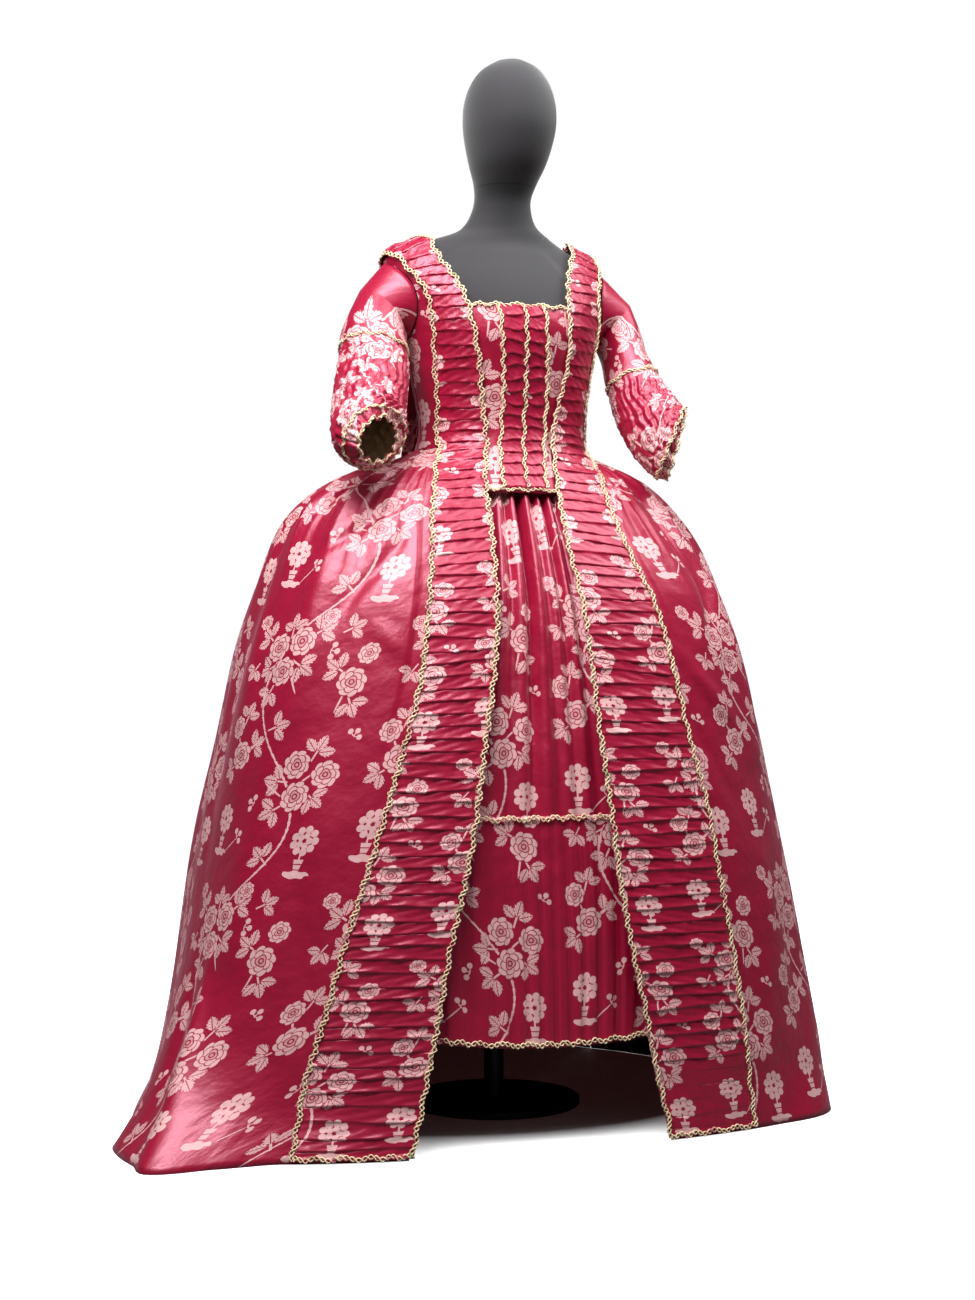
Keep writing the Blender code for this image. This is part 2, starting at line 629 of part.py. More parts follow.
def sleeve(name, rings, side):
    """A sleeve set round the armhole: plain above, gathered below, with a waved cuff edge."""
    rows = 12
    centres, radii, frames = sleeve_rings(rings, side)
    forwards, tops = [f[0] for f in frames], [f[1] for f in frames]

    def place(column, row):
        angle = 2 * pi * column / SLEEVE_COLUMNS
        if row == 0:
            z = ARMHOLE_Z + ARMHOLE_RADIUS * cos(angle)
            return body(side * armhole_turn(z, sin(angle) < 0), z, SLEEVE_LIFT)
        share = (row - 1) / (rows - 1)
        centre, size = between(centres, share), between(radii, share)
        ahead, up = between(forwards, share).normalized(), between(tops, share).normalized()
        gather = min(max((share - GATHERS_FROM) / 0.15, 0.0), 1.0)
        out = GATHER_DEPTH * gather if column % 2 else -GATHER_DEPTH * gather
        if row >= rows - 1:
            out += CUFF_WAVE * (1 if column % 2 else -0.6) * (1 if row == rows else 0.3)
        return centre + ahead * sin(angle) * (size.y + out) + up * cos(angle) * (size.x + out)

    return cloth(name, SLEEVE_COLUMNS, rows, place, closed=True)


def dress_form(name):
    """Smooth whole torso with a plain egg-shaped head and no face. Under the cloth it follows the body surface."""
    rings = FORM_HIPS + FORM_CLOTHED + FORM_HEAD
    bm = bmesh.new()
    bmesh.ops.create_uvsphere(bm, u_segments=FORM_SEGMENTS, v_segments=len(rings) + 1, radius=1.0)
    for vert in bm.verts:
        latitude = atan2(vert.co.z, sqrt(vert.co.x**2 + vert.co.y**2))
        ring = round((latitude / pi + 0.5) * (len(rings) + 1)) - 1
        if ring < 0 or ring >= len(rings):
            vert.co = Vector((0, rings[0].y, rings[0].z)) if ring < 0 else Vector((0, rings[-1].y, FORM_TOP_Z))
            continue
        row = rings[ring]
        angle = atan2(vert.co.x, -vert.co.y)
        if row in FORM_CLOTHED:
            near_tip = abs(abs(degrees(angle)) - 90) < 40 and 1.33 < row < 1.39
            vert.co = body(degrees(angle), row, -(SHOULDER_CLEARANCE if near_tip else FORM_CLEARANCE))
            continue
        depth = row.front if cos(angle) > 0 else row.back
        reach = ((sin(angle) / row.half_width) ** 2 + (cos(angle) / depth) ** 2) ** -0.5
        vert.co = Vector((reach * sin(angle), row.y - reach * cos(angle), row.z))
    return finish_object(name, bm, FORM_CLOTH)


def turned(name, radius, low, high, segments, bevel=0.0):
    """A round piece of the stand: the pole or the base."""
    bm = bmesh.new()
    bmesh.ops.create_cone(
        bm, cap_ends=True, segments=segments, radius1=radius, radius2=radius, depth=high - low
    )
    bmesh.ops.translate(bm, verts=bm.verts, vec=(0, POLE_Y, (low + high) / 2))
    if bevel:
        top = [edge for edge in bm.edges if all(abs(v.co.z - high) < 1e-6 for v in edge.verts)]
        bmesh.ops.bevel(bm, geom=top, offset=bevel, affect="EDGES", segments=2, profile=0.5, material=-1)
    return finish_object(name, bm, STEEL)


def centre_on_box(objects):
    """Moves everything so that the middle of its box stands over the origin, on the floor."""
    bpy.context.view_layer.update()
    graph = bpy.context.evaluated_depsgraph_get()
    corners = [Vector(c) for o in objects for c in o.evaluated_get(graph).bound_box]
    low = Vector([min(c[i] for c in corners) for i in range(3)])
    high = Vector([max(c[i] for c in corners) for i in range(3)])
    shift = Matrix.Translation((-(low.x + high.x) / 2, -(low.y + high.y) / 2, 0))
    for made in objects:
        made.data.transform(shift)


def main():
    for old in list(bpy.data.objects):
        bpy.data.objects.remove(old)
    bpy.context.scene.collection.children.link(bpy.data.collections.new("robe_a_la_francaise"))
    objects = [
        dress_form("dress_form"),
        turned("stand_base", BASE_RADIUS, 0.0, BASE_THICKNESS, 48, bevel=0.003),
        turned("stand_pole", POLE_RADIUS, BASE_THICKNESS + 0.0003, FORM_HIPS[0].z - 0.0003, 20),
        petticoat_back("petticoat_back"),
        petticoat_front("petticoat_front"),
        petticoat_flounce("petticoat_flounce"),
        fitted("bodice_back_right", RIGHT_ROBING, -1, True),
        fitted("bodice_back_left", LEFT_ROBING, 1, True),
        fitted("bodice_front_right", RIGHT_ROBING, -1, False),
        fitted("bodice_front_left", LEFT_ROBING, 1, False),
        stomacher("stomacher"),
        ruched_strip("stomacher_ruching_right", "right", "middle"),
        ruched_strip("stomacher_ruching_left", "middle", "left"),
        skirt_side("skirt_side_right", RIGHT_ROBING, -1),
        skirt_side("skirt_side_left", LEFT_ROBING, 1),
        sack_back("sack_back"),
        robing("robing_right", RIGHT_ROBING, -1),
        robing("robing_left", LEFT_ROBING, 1),
        sleeve("sleeve_right", RIGHT_SLEEVE, -1),
        sleeve("sleeve_left", LEFT_SLEEVE, 1),
    ]
    centre_on_box(objects)


main()
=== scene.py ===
"""Looks of a robe a la francaise on its dress form: brocaded satin, ruched robings, looped gimp and stage.

Each piece of cloth is a fine sheet on the form of its solid: the same body surface, edges and rings, with the
small tucks, pleats, gathers and creases added. Turns are in degrees from the front, and sizes in metres.
"""

from collections import namedtuple
from math import cos, pi, radians, sin

import bmesh
import bpy
import numpy as np
from bpy.props import FloatProperty, FloatVectorProperty, PointerProperty
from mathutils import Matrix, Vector


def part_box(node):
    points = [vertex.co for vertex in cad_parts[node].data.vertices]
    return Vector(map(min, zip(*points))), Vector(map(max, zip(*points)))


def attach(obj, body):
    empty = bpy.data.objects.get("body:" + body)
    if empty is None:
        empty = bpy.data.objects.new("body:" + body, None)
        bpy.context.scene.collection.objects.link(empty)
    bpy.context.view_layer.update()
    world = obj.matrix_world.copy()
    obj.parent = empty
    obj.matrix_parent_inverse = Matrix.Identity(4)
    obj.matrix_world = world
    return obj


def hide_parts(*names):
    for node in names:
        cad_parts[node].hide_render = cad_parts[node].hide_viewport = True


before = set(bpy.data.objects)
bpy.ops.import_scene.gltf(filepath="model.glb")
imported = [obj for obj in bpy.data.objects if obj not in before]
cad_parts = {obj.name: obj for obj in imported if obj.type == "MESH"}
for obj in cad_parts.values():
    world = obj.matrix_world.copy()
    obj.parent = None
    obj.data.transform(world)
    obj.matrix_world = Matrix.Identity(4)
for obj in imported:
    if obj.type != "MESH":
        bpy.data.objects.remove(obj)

bl_info = {
    "name": "Robe a la francaise",
    "version": (1, 0, 0),
    "blender": (4, 5, 0),
    "location": "3D View > Sidebar > Gown",
    "description": "Builds the gown, its trimming, its dress form and the stage",
    "category": "Add Mesh",
}

# The form of the solids. The hem, the robings' lines and the right flare are the scene's own.
WAIST_Z = 1.056
SEAM_GAP = 0.0005
ROBING_LIFT = 0.0046
ROBING_LINES = 80
ROBING_ZONE = 3 / 19
STRIP_LIFT = 0.0034
STRIP_TUCKS = 15
FORM_CLEARANCE = 0.0062
SHOULDER_CLEARANCE = 0.0085
HEM_Z = 0.0006
SACK_LIFT = 0.0095
SACK_SEAM_TOP = 0.97
SACK_HALF_WIDTH = 0.136
TRAIN_SPREAD = 0.20
SACK_PLEAT = 0.017
TRAIN_PLEAT = 0.038
ARMHOLE_Z = 1.294
ARMHOLE_RADIUS = 0.0575
SLEEVE_LIFT = 0.0024
POLE_RADIUS = 0.016
POLE_Y = 0.03
BASE_RADIUS = 0.14
BASE_THICKNESS = 0.012


def rows_of(kind, *rows):
    """A table whose rows have named columns."""
    return [kind(*row) for row in rows]


Profile = namedtuple("Profile", "z half_width front back squareness roundness shift middle")
PROFILE = rows_of(
    Profile,
    (0.000, 0.566, 0.240, 0.750, 2.35, 1.8, -0.042, -0.090),
    (0.060, 0.546, 0.262, 0.700, 2.35, 1.8, -0.026, -0.062),
    (0.130, 0.530, 0.278, 0.620, 2.45, 1.9, -0.016, -0.040),
    (0.330, 0.492, 0.290, 0.502, 2.55, 2.1, -0.012, -0.012),
    (0.530, 0.451, 0.280, 0.410, 2.6, 2.3, -0.014, 0.0),
    (0.720, 0.412, 0.247, 0.335, 2.6, 2.4, -0.014, 0.0),
    (0.820, 0.380, 0.222, 0.290, 2.6, 2.4, -0.014, 0.0),
    (0.890, 0.350, 0.192, 0.258, 2.5, 2.4, -0.016, 0.0),
    (0.940, 0.319, 0.167, 0.228, 2.4, 2.4, -0.019, 0.0),
    (0.980, 0.281, 0.144, 0.196, 2.3, 2.3, -0.017, 0.0),
    (1.010, 0.234, 0.129, 0.165, 2.2, 2.2, -0.012, 0.0),
    (1.035, 0.176, 0.118, 0.136, 2.1, 2.1, -0.006, 0.0),
    (1.060, 0.138, 0.110, 0.112, 2.1, 2.1, -0.002, 0.0),
    (1.100, 0.134, 0.107, 0.103, 2.1, 2.1, 0.0, 0.0),
    (1.180, 0.148, 0.118, 0.112, 2.1, 2.1, 0.0, 0.0),
    (1.240, 0.160, 0.128, 0.120, 2.1, 2.1, 0.0, 0.0),
    (1.280, 0.172, 0.121, 0.116, 2.1, 2.1, -0.002, 0.0),
    (1.310, 0.181, 0.109, 0.106, 2.1, 2.1, -0.005, 0.0),
    (1.340, 0.185, 0.092, 0.094, 2.1, 2.1, -0.010, 0.0),
    (1.372, 0.174, 0.070, 0.075, 2.1, 2.1, -0.014, 0.0),
    (1.395, 0.126, 0.054, 0.060, 2.1, 2.1, -0.014, 0.0),
)
Flare = namedtuple("Flare", "turn out")
RIGHT_FLARE = rows_of(
    Flare,
    (0, 0.0), (64, 0.0), (72, 0.040), (77.5, 0.098),
    (80.5, 0.066), (85, 0.046), (91, 0.036), (100, 0.008),
    (112, 0.0), (180, 0.0),
)
LEFT_FLARE = rows_of(
    Flare,
    (0, 0.0), (64, 0.002), (76, 0.012), (88, -0.006),
    (100, 0.012), (114, 0.0), (180, 0.0),
)
FLARE_TOP = 0.26
FLARE_CURVE = 1.35

Edge = namedtuple("Edge", "z_inner x_inner z_outer x_outer behind")
RIGHT_ROBING = rows_of(
    Edge,
    (1.383, 0.118, 1.344, 0.166, 1),
    (1.392, 0.132, 1.364, 0.190, 0),
    (1.344, 0.120, 1.335, 0.168, 0),
    (1.300, 0.097, 1.300, 0.147, 0),
    (1.250, 0.084, 1.250, 0.136, 0),
    (1.190, 0.071, 1.190, 0.130, 0),
    (1.130, 0.064, 1.130, 0.122, 0),
    (1.080, 0.058, 1.080, 0.122, 0),
    (1.040, 0.062, 1.030, 0.137, 0),
    (0.990, 0.073, 0.985, 0.156, 0),
    (0.940, 0.077, 0.930, 0.172, 0),
    (0.880, 0.081, 0.870, 0.182, 0),
    (0.790, 0.088, 0.790, 0.197, 0),
    (0.700, 0.100, 0.690, 0.216, 0),
    (0.600, 0.120, 0.600, 0.243, 0),
    (0.500, 0.137, 0.500, 0.275, 0),
    (0.400, 0.158, 0.400, 0.308, 0),
    (0.300, 0.184, 0.300, 0.341, 0),
    (0.200, 0.204, 0.200, 0.370, 0),
    (0.100, 0.226, 0.100, 0.402, 0),
    (0.004, 0.250, 0.004, 0.425, 0),
)
LEFT_ROBING = rows_of(
    Edge,
    (1.385, 0.106, 1.352, 0.142, 1),
    (1.393, 0.106, 1.376, 0.152, 0),
    (1.344, 0.086, 1.335, 0.148, 0),
    (1.300, 0.072, 1.300, 0.137, 0),
    (1.250, 0.070, 1.250, 0.136, 0),
    (1.190, 0.069, 1.190, 0.126, 0),
    (1.130, 0.056, 1.130, 0.121, 0),
    (1.080, 0.046, 1.080, 0.126, 0),
    (1.040, 0.046, 1.030, 0.128, 0),
    (0.990, 0.043, 0.985, 0.130, 0),
    (0.940, 0.040, 0.930, 0.138, 0),
    (0.880, 0.041, 0.870, 0.156, 0),
    (0.790, 0.050, 0.790, 0.185, 0),
    (0.700, 0.054, 0.690, 0.205, 0),
    (0.600, 0.060, 0.600, 0.222, 0),
    (0.500, 0.070, 0.500, 0.247, 0),
    (0.400, 0.079, 0.400, 0.262, 0),
    (0.300, 0.094, 0.300, 0.279, 0),
    (0.200, 0.114, 0.200, 0.294, 0),
    (0.100, 0.132, 0.100, 0.304, 0),
    (0.004, 0.152, 0.004, 0.312, 0),
)
Fitted = namedtuple("Fitted", "front side back turn")
FITTED = rows_of(
    Fitted,
    (1.0575, 1.0575, 1.0575, 179.9),
    (1.080, 1.080, 1.080, 179.9),
    (1.120, 1.120, 1.130, 179.9),
    (1.180, 1.180, 1.200, 179.9),
    (1.232, 1.2365, 1.270, 179.9),
    (1.250, 1.250, 1.315, 179.9),
    (1.275, 1.272, 1.352, 179.9),
    (1.300, 1.298, 1.384, 179.9),
    (1.340, 1.324, 1.386, 150.0),
    (1.372, 1.341, 1.389, 120.0),
    (1.393, 1.3515, 1.393, 91.0),
)
NECK_LIFT = 0.002
UNDER_ROBING = 0.36
Strip = namedtuple("Strip", "z right middle left")
STRIPS = rows_of(
    Strip,
    (0.990, -0.046, -0.006, 0.026),
    (1.130, -0.035, 0.000, 0.036),
    (1.279, -0.046, -0.005, 0.028),
)
STOMACHER_BOTTOM = 0.984
STOMACHER_TOP = 1.281
Sack = namedtuple("Sack", "z half_width middle edge pleat")
SACK = rows_of(
    Sack,
    (1.386, 0.098, 0.072, 0.050, 0.002),
    (1.370, 0.102, 0.084, 0.064, 0.003),
    (1.350, 0.106, 0.096, 0.080, 0.004),
    (1.300, 0.110, 0.117, 0.098, 0.006),
    (1.240, 0.112, 0.136, 0.116, 0.009),
    (1.160, 0.114, 0.158, 0.134, 0.012),
    (1.100, 0.116, 0.174, 0.148, 0.014),
    (1.050, 0.120, 0.187, 0.160, 0.015),
    (1.010, 0.126, 0.196, 0.172, 0.016),
)
Petticoat = namedtuple("Petticoat", "z inside")
PETTICOAT = rows_of(
    Petticoat,
    (0.100, 0.034),
    (0.300, 0.032),
    (0.500, 0.026),
    (0.700, 0.020),
    (0.850, 0.015),
    (0.950, 0.012),
    (1.000, 0.009),
    (1.045, 0.0065),
)
PETTICOAT_SEAT = 0.0026
PETTICOAT_BOTTOM = 0.462
PETTICOAT_TOP = 1.042
FLOUNCE_TOP = 0.492
FLOUNCE_LIFT = 0.0042
FLOUNCE_TURN = 66
PETTICOAT_HEM = 0.147
PETTICOAT_HEM_RISE = 0.35

Ring = namedtuple("Ring", "x y z out forward down across deep")
RIGHT_SLEEVE = rows_of(
    Ring,
    (0.202, -0.004, 1.275, 0.72, 0.10, 0.68, 0.047, 0.050),
    (0.219, -0.022, 1.234, 0.28, 0.28, 0.92, 0.051, 0.054),
    (0.227, -0.046, 1.190, 0.25, 0.40, 0.88, 0.054, 0.055),
    (0.243, -0.082, 1.140, 0.22, 0.48, 0.85, 0.056, 0.056),
    (0.256, -0.113, 1.100, 0.08, 0.66, 0.74, 0.056, 0.056),
    (0.261, -0.143, 1.068, -0.25, 0.86, 0.45, 0.064, 0.053),
    (0.257, -0.168, 1.056, -0.62, 0.76, 0.14, 0.058, 0.043),
)
LEFT_SLEEVE = rows_of(
    Ring,
    (0.194, -0.002, 1.277, 0.72, 0.10, 0.68, 0.041, 0.050),
    (0.205, -0.014, 1.238, 0.25, 0.22, 0.94, 0.035, 0.052),
    (0.212, -0.034, 1.190, 0.16, 0.30, 0.94, 0.038, 0.054),
    (0.221, -0.062, 1.142, 0.26, 0.38, 0.88, 0.046, 0.055),
    (0.229, -0.092, 1.105, 0.52, 0.42, 0.74, 0.053, 0.054),
    (0.240, -0.113, 1.080, 0.80, 0.36, 0.48, 0.060, 0.051),
    (0.256, -0.124, 1.066, 0.90, 0.33, 0.27, 0.066, 0.048),
)
RIGHT_GATHERS = 0.27
LEFT_GATHERS = 0.38
CUFF_WAVES = 12
GIMP_THREAD = 0.0012
GIMP_SHARES = (0.02, 0.98)
POINTS_A_LOOP = 9
FIRST_RING = 0.08

Form = namedtuple("Form", "z half_width front back y")
FORM_HIPS = rows_of(
    Form,
    (0.790, 0.145, 0.100, 0.104, 0.0),
    (0.860, 0.160, 0.110, 0.116, 0.0),
    (0.950, 0.152, 0.102, 0.108, 0.0),
    (1.020, 0.128, 0.095, 0.098, 0.0),
)
FORM_CLOTHED = [1.064, 1.10, 1.14, 1.18, 1.21, 1.24, 1.26, 1.28, 1.31, 1.34, 1.372, 1.394]
FORM_HEAD = rows_of(
    Form,
    (1.409, 0.080, 0.046, 0.052, 0.0),
    (1.424, 0.060, 0.044, 0.050, -0.002),
    (1.444, 0.0495, 0.043, 0.047, -0.006),
    (1.466, 0.046, 0.044, 0.046, -0.012),
    (1.490, 0.051, 0.056, 0.056, -0.024),
    (1.515, 0.060, 0.072, 0.070, -0.034),
    (1.545, 0.068, 0.083, 0.081, -0.040),
    (1.576, 0.073, 0.089, 0.087, -0.043),
    (1.610, 0.072, 0.087, 0.086, -0.043),
    (1.640, 0.063, 0.077, 0.077, -0.043),
    (1.664, 0.047, 0.058, 0.058, -0.043),
    (1.679, 0.024, 0.030, 0.030, -0.043),
)
FORM_TOP_Z = 1.684
NECK_SEAM_Z = 1.481
FORM_COLUMNS = 97

# Pleats, tucks and walls that only the scene has
SKIRT_PLEATS = 19
SLEEVE_COLUMNS = 193
FLOUNCE_PLEATS = 18
TUCK_CREST = 0.09
RUCHED_EASE = 1.25
CLOTH_WALL = 0.0012
FINE_WALL = 0.001

# The photo's camera: its turn round the gown, its distance and height, its lens and its turn off the middle.
CAMERA_TURN = radians(-20)
CAMERA_DISTANCE = 3.566
CAMERA_HEIGHT = 0.739
CAMERA_LENS = 60.92
CAMERA_YAW = 0.0057
# Name, kind, place from the gown's axis, power, and size in metres or angle.
LAMPS = (
    ("sky", "SUN", (-0.4, -0.7, 4.4), 0.8, radians(60)),
    ("key", "AREA", (-0.85, -1.0, 2.65), 86, 1.3),
    ("fill", "AREA", (1.0, -0.6, 2.5), 32, 1.2),
    ("rear", "AREA", (0.9, 2.6, 2.3), 40, 1.6),
)
WHITE = (1.0, 1.0, 1.0, 1.0)

# Soft folds and creases, listed one by one: where on the panel, how long, which way they lean, how deep and
# how wide.
METRES_PER_DEGREE = 0.0075
Crease = namedtuple("Crease", "turn z length lean depth width")
SIDE_CREASES = rows_of(
    Crease,
    (38, 0.66, 0.10, 38, -0.007, 0.016),
    (44, 0.73, 0.08, 52, 0.006, 0.014),
    (36, 0.56, 0.09, 25, 0.005, 0.018),
    (55, 0.86, 0.09, -35, -0.006, 0.016),
    (64, 0.92, 0.07, -50, -0.005, 0.011),
    (80, 0.80, 0.14, 12, -0.005, 0.020),
    (70, 0.55, 0.20, -6, 0.006, 0.030),
    (92, 0.60, 0.22, 5, -0.007, 0.026),
    (60, 0.32, 0.20, 8, -0.006, 0.028),
    (108, 0.42, 0.24, -4, 0.007, 0.030),
    (124, 0.66, 0.20, 6, -0.007, 0.026),
    (136, 0.35, 0.20, -5, -0.006, 0.028),
    (78, 0.13, 0.12, 3, 0.010, 0.011),
    (83, 0.12, 0.12, 4, -0.012, 0.012),
    (54, 0.10, 0.14, -4, -0.005, 0.022),
    (78, 0.978, 0.028, -33, -0.012, 0.0070),
    (80.6, 0.984, 0.030, -33, 0.006, 0.012),
    (87.5, 0.925, 0.030, -37, -0.009, 0.0075),
    (34, 0.93, 0.06, 24, -0.004, 0.008),
    (47, 0.97, 0.05, -18, 0.004, 0.009),
)
# The folded edge beside a robing: how many degrees outside it, and how deep on the right (-1) and left (1).
FOLD_BESIDE = 3.2
FOLD_DEPTH = {-1: 0.006, 1: 0.003}
# Deep pleats of the petticoat: x at the waist and at the flounce, depth, and width at the waist.
Fold = namedtuple("Fold", "x_top x_low depth width")
PETTICOAT_FOLDS = rows_of(
    Fold,
    (-0.016, -0.040, 0.022, 0.0048),
    (0.006, 0.004, 0.011, 0.0045),
    (-0.036, -0.085, 0.012, 0.0052),
    (0.022, 0.034, 0.015, 0.0045),
    (0.038, 0.070, 0.011, 0.0052),
    (-0.056, -0.128, 0.010, 0.006),
    (0.056, 0.110, 0.010, 0.006),
)

# The brocade's repeat, in metres: where each flower, leaf, twig, berry and pot lies, its turn and its size.
TILE_WIDTH = 0.27
TILE_HEIGHT = 0.42
LEAF_SECTOR = 0.541
BERRY_SECTOR = 0.61
Spot = namedtuple("Spot", "x y turn length width")
ROSES = rows_of(
    Spot,
    (0.082, 0.352, 20, 0.0235, 0.022),
    (0.128, 0.360, 100, 0.023, 0.0215),
    (0.106, 0.314, 200, 0.023, 0.022),
    (0.188, 0.126, 60, 0.0235, 0.022),
    (0.226, 0.160, 160, 0.022, 0.021),
    (0.176, 0.174, 280, 0.022, 0.021),
    (0.058, 0.184, 10, 0.023, 0.022),
    (0.034, 0.226, 80, 0.018, 0.017),
    (0.222, 0.300, 130, 0.023, 0.022),
    (0.236, 0.344, 40, 0.017, 0.016),
    (0.160, 0.402, 70, 0.013, 0.012),
    (0.030, 0.392, 15, 0.013, 0.012),
)
# Each sprig has three leaves round its place and a stalk behind them.
SPRIGS = rows_of(
    Spot,
    (0.056, 0.366, 150, 0.030, 0.030),
    (0.104, 0.378, 95, 0.029, 0.029),
    (0.150, 0.376, 40, 0.030, 0.030),
    (0.076, 0.320, 205, 0.029, 0.029),
    (0.134, 0.324, -30, 0.030, 0.030),
    (0.090, 0.284, 245, 0.030, 0.030),
    (0.156, 0.148, 175, 0.029, 0.029),
    (0.202, 0.192, 70, 0.030, 0.030),
    (0.214, 0.126, -35, 0.028, 0.028),
    (0.162, 0.106, 215, 0.030, 0.030),
    (0.084, 0.198, 35, 0.029, 0.029),
    (0.038, 0.164, 215, 0.028, 0.028),
    (0.054, 0.242, 75, 0.027, 0.027),
    (0.200, 0.318, 150, 0.029, 0.029),
    (0.228, 0.270, -60, 0.029, 0.029),
    (0.168, 0.030, 140, 0.028, 0.028),
    (0.122, 0.228, 20, 0.028, 0.028),
    (0.040, 0.318, 240, 0.024, 0.024),
    (0.196, 0.382, 30, 0.026, 0.026),
)
TWIGS = rows_of(
    Spot,
    (0.088, 0.202, 28, 0.026, 0.0015),
    (0.150, 0.134, 150, 0.020, 0.0015),
    (0.196, 0.152, 40, 0.020, 0.0015),
    (0.130, 0.300, 120, 0.024, 0.0015),
    (0.214, 0.276, 78, 0.024, 0.0015),
    (0.046, 0.206, 120, 0.018, 0.0015),
    (0.088, 0.048, 40, 0.017, 0.0011),
)
# Each spot of berries has three of them.
BERRIES = rows_of(
    Spot,
    (0.176, 0.348, -5, 0.014, 0.014),
    (0.122, 0.112, 160, 0.014, 0.014),
    (0.100, 0.060, 40, 0.014, 0.014),
    (0.250, 0.218, 60, 0.013, 0.013),
)
POTS = rows_of(
    Spot,
    (0.052, 0.050, 0, 0.020, 0.020),
    (0.228, 0.024, 0, 0.020, 0.020),
)

LOW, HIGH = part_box("stand_pole")
AXIS = Vector(((LOW.x + HIGH.x) / 2, (LOW.y + HIGH.y) / 2 - POLE_Y, 0))


# Reading the tables
def smooth(rows, name, at, key="z"):
    """A named column of a table, read at one or many heights on a smooth curve through its rows."""
    rows = sorted(rows, key=lambda row: getattr(row, key))
    keys = np.array([getattr(row, key) for row in rows], float)
    values = np.array([getattr(row, name) for row in rows], float)
    index = np.arange(len(keys))
    before, after = np.maximum(index - 1, 0), np.minimum(index + 1, len(keys) - 1)
    slopes = (values[after] - values[before]) / (keys[after] - keys[before])
    at = np.clip(at, keys[0], keys[-1])
    i = np.clip(np.searchsorted(keys, at, side="right"), 1, len(keys) - 1)
    span = keys[i] - keys[i - 1]
    share, rise = (at - keys[i - 1]) / span, values[i] - values[i - 1]
    limit = 3 * np.abs(rise)
    start = np.clip(slopes[i - 1] * span, -limit, limit)
    end = np.clip(slopes[i] * span, -limit, limit)
    curve = (3 * rise - 2 * start - end) * share**2 + (start + end - 2 * rise) * share**3
    return values[i - 1] + start * share + curve


def between(values, at):
    """Rows of numbers read at shares from 0 to 1, on a smooth curve."""
    values = np.asarray(values, float)
    last = len(values) - 1
    place = np.clip(at, 0.0, 1.0) * last
    i = np.minimum(place.astype(int), last - 1)
    share = (place - i).reshape(place.shape + (1,) * (values.ndim - 1))
    p0, p1, p2, p3 = (values[np.clip(i + k, 0, last)] for k in (-1, 0, 1, 2))
    return 0.5 * (
        p1 * 2 + (p2 - p0) * share + (p0 * 2 - p1 * 5 + p2 * 4 - p3) * share**2
        + (p1 * 3 - p0 - p2 * 3 + p3) * share**3
    )


def ramp(value, start, end):
    """0 below start, 1 above end and even between them."""
    return np.clip((value - start) / (end - start), 0.0, 1.0)


def ripple(a, b, seed):
    """Soft uneven waves from -1 to 1."""
    waves = np.sin(a + 1.7 * b + seed) + np.sin(2.3 * a - 1.1 * b + 2.1 * seed)
    return (waves + np.sin(0.7 * a + 2.9 * b + 0.3 * seed)) / 3


# The body surface
def section(z, behind):
    """Half width, depth, power, shift and middle of the body's outline at a height."""
    half_width, shift, middle = (smooth(PROFILE, name, z) for name in ("half_width", "shift", "middle"))
    depth = np.where(behind, smooth(PROFILE, "back", z), smooth(PROFILE, "front", z))
    power = np.where(behind, smooth(PROFILE, "roundness", z), smooth(PROFILE, "squareness", z))
    return half_width, depth, power, shift, middle


def body_point(turn, z):
    """A point of the body: turn is in degrees from the front, and positive to the wearer's left."""
    turn, z = np.broadcast_arrays(np.asarray(turn, float), np.asarray(z, float))
    s, c = np.sin(np.radians(turn)), np.cos(np.radians(turn))
    half_width, depth, power, shift, middle = section(z, c < 0)
    reach = (np.abs(s / half_width) ** power + np.abs(c / depth) ** power) ** (-1 / power)
    return np.stack([shift + reach * s, middle - reach * c, z], axis=-1)


def normal(turn, z):
    """The body's outward direction."""
    turn, z = np.broadcast_arrays(np.asarray(turn, float), np.asarray(z, float))
    along = body_point(turn + 1, z) - body_point(turn - 1, z)
    up = body_point(turn, np.minimum(z + 0.006, PROFILE[-1].z)) - body_point(turn, np.maximum(z - 0.006, 0.0))
    out = np.cross(along, up)
    return out / np.linalg.norm(out, axis=-1, keepdims=True)


def body(turn, z, out=0.0):
    """The body surface moved out along its normal."""
    return body_point(turn, z) + normal(turn, z) * np.asarray(out, float)[..., None]


def turn_at(x, z, behind=False):
    """The turn at which the body is x metres to the wearer's left."""
    half_width, depth, power, shift, _ = section(z, behind)
    across = np.minimum(np.abs(x - shift) / half_width, 1.0)
    reach = depth * (1 - across**power) ** (1 / power)
    side = np.where(x >= shift, 1, -1)
    return np.degrees(np.arctan2(side * across * half_width, -reach if behind else reach))


def edge_x(rows, z, name):
    """How far from the middle the inner or outer edge of a robing lies."""
    front = [row for row in rows if not row.behind]
    return smooth(front, "x_" + name, z, key="z_" + name)


def crease_lift(rows, turn, z):
    """The height of the listed folds at a place on a panel."""
    lift = 0.0
    for row in rows:
        dx, dz = (turn - row.turn) * METRES_PER_DEGREE, z - row.z
        lean = radians(row.lean)
        along, across = dz * cos(lean) + dx * sin(lean), dx * cos(lean) - dz * sin(lean)
        lift = lift + row.depth * np.exp(-((across / row.width) ** 2) - (along / row.length) ** 2)
    return lift


# Making pieces
def lengths(points, axis):
    """How far along its sheet each point is, in metres, from the sheet's first row or column."""
    steps = np.linalg.norm(np.diff(points, axis=axis), axis=-1)
    start = np.zeros_like(np.take(steps, [0], axis=axis))
    return np.concatenate([start, np.cumsum(steps, axis=axis)], axis=axis)


